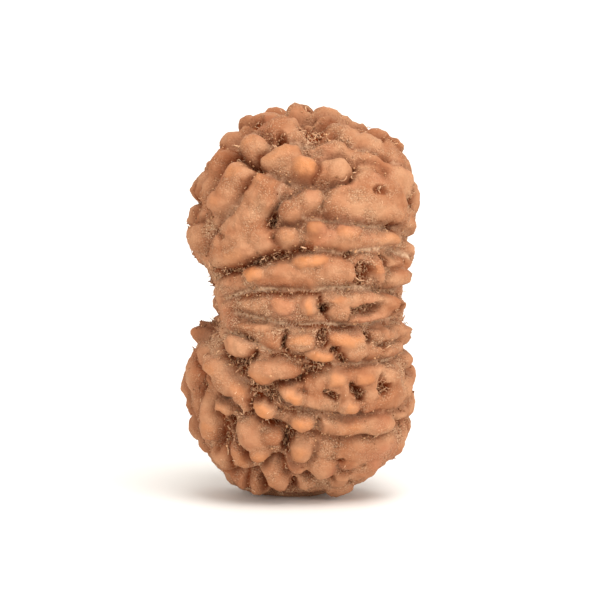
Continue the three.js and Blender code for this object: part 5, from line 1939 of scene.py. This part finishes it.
@dataclass(frozen=True)
class Studio:
    """A pale floor, soft light and the camera at the photograph's angle."""

    sight: Sight
    distance: float = 0.6
    frame_width: float = 0.06
    sensor_width: float = 36.0
    nearest: float = 0.01
    aim: tuple[float, float, float] = (0, 0, 0.0196)
    floor_size: float = 3.0
    surround_strength: float = 0.70

    def build(self, finish: FloorFinish, grain: GrainEffect) -> None:
        """Builds the floor, the lights and the camera.

        Args:
            finish: The floor's finish.
            grain: The shared grain.
        """
        self.lay_floor(finish, grain)
        self.hang_lights()
        self.set_camera()

    def lay_floor(self, finish: FloorFinish, grain: GrainEffect) -> None:
        """Lays the floor that isn't part of the object.

        Args:
            finish: The floor's finish.
            grain: The shared grain.
        """
        half = self.floor_size / 2 / MM
        corners = half * np.array([(-1, -1, 0), (1, -1, 0), (1, 1, 0), (-1, 1, 0)])
        floor = make_object("studio_floor", corners, np.array([[0, 1, 2, 3]]), {}, smooth=False)
        floor.data.materials.append(finish.build(grain))

    def hang_lights(self) -> None:
        """Hangs lights above, at both sides and over the far floor, in a pale surround."""
        lights = (
            SoftLight("overhead", (0.12, -0.24, 0.58), 0.45, 3.4, self.aim),
            SoftLight("front_left", (-0.40, -0.60, 0.16), 0.45, 2.1, self.aim),
            SoftLight("right_fill", (0.50, -0.42, 0.20), 0.40, 2.2, self.aim),
            SoftLight("far_floor", (0.0, 0.75, 0.45), 0.70, 3.0, (0.0, 0.75, 0.0)),
        )
        for light in lights:
            light.hang()
        world = bpy.data.worlds.new("studio_surround")
        world.use_nodes = True
        background = world.node_tree.nodes["Background"].inputs
        background["Color"].default_value = Shade.SURROUND.linear
        background["Strength"].default_value = self.surround_strength
        bpy.context.scene.world = world

    def set_camera(self) -> None:
        """Sets the camera a little above the level, so that the frame is as wide as the photograph."""
        lens = bpy.data.cameras.new("photo_view")
        lens.sensor_width = self.sensor_width
        lens.lens = lens.sensor_width * self.distance / self.frame_width
        lens.clip_start = self.nearest
        camera = bpy.data.objects.new("photo_view", lens)
        camera.location = Vector(self.aim) + Vector(self.sight.towards) * self.distance
        camera.rotation_euler = (Vector(self.aim) - camera.location).to_track_quat("-Z", "Y").to_euler()
        bpy.context.scene.collection.objects.link(camera)
        bpy.context.scene.camera = camera


def settle(piece: Object, material: Material, body: str = "root") -> None:
    """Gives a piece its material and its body.

    Args:
        piece: The piece.
        material: Its material.
        body: The body that it moves with.
    """
    piece.data.materials.append(material)
    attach(piece, body)
    LOG.info("%s: %d faces", piece.name, len(piece.data.polygons))


def clinging_pieces(grain: GrainEffect) -> list[tuple[Strands | Crumbs, Material]]:
    """Lists what clings to the stone, with its finish.

    Args:
        grain: The shared grain.

    Returns:
        The fibre, the hairs and the crumbs, each with its material.
    """
    fibre = StrandFinish("dry_fibre", Shade.STRAND_PALE, Shade.STRAND_DARK).build(grain)
    hair = StrandFinish("pale_hair", Shade.HAIR_PALE, Shade.HAIR_DARK).build(grain)
    flesh = StrandFinish("dry_flesh", Shade.CRUMB_PALE, Shade.CRUMB_DARK).build(grain)
    in_pits = Shelter(pits=1.0, cuts=0.12, dust=0.0, mouth=1.2, gathering=2)
    in_mouths = Shelter(pits=0.9, cuts=0.2, dust=0.02, mouth=1.4, gathering=2)
    on_skin = Shelter(pits=0.0, cuts=0.1, dust=0.6, mouth=0.1, powder=0.5, gathering=2)
    short = Strands(
        name="pit_fibre", count=5600, seed=8, thickness=(0.09, 0.19), length=(0.4, 1.1), shelter=in_pits,
        curl=0.8,
    )
    long = Strands(
        name="loose_fibre", count=700, seed=9, thickness=(0.04, 0.08), length=(0.8, 1.9), shelter=in_mouths,
        curl=0.6, lift=0.3,
    )
    hairs = Strands(
        name="skin_hairs", count=3600, seed=10, thickness=(0.045, 0.07), length=(0.15, 0.6), shelter=on_skin,
        curl=0.5, lift=0.1, knots=4,
    )
    return [(short, fibre), (long, fibre), (hairs, hair), (Crumbs(), flesh)]


def main() -> None:
    """Builds the seed, its fibre and crumbs, and the studio."""
    logging.basicConfig(level=logging.INFO, format="%(name)s: %(message)s")
    grain = GrainEffect()
    sight = Sight()
    stone, surface = SeedStone(Relief(SmoothBody(), sight)).build()
    settle(stone, StoneFinish().build(grain))
    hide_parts(NODE)
    for clinging, material in clinging_pieces(grain):
        settle(clinging.build(surface), material)
    Studio(sight).build(FloorFinish(), grain)
    bpy.context.scene.view_settings.view_transform = "Standard"


if __name__ == "__main__":
    main()
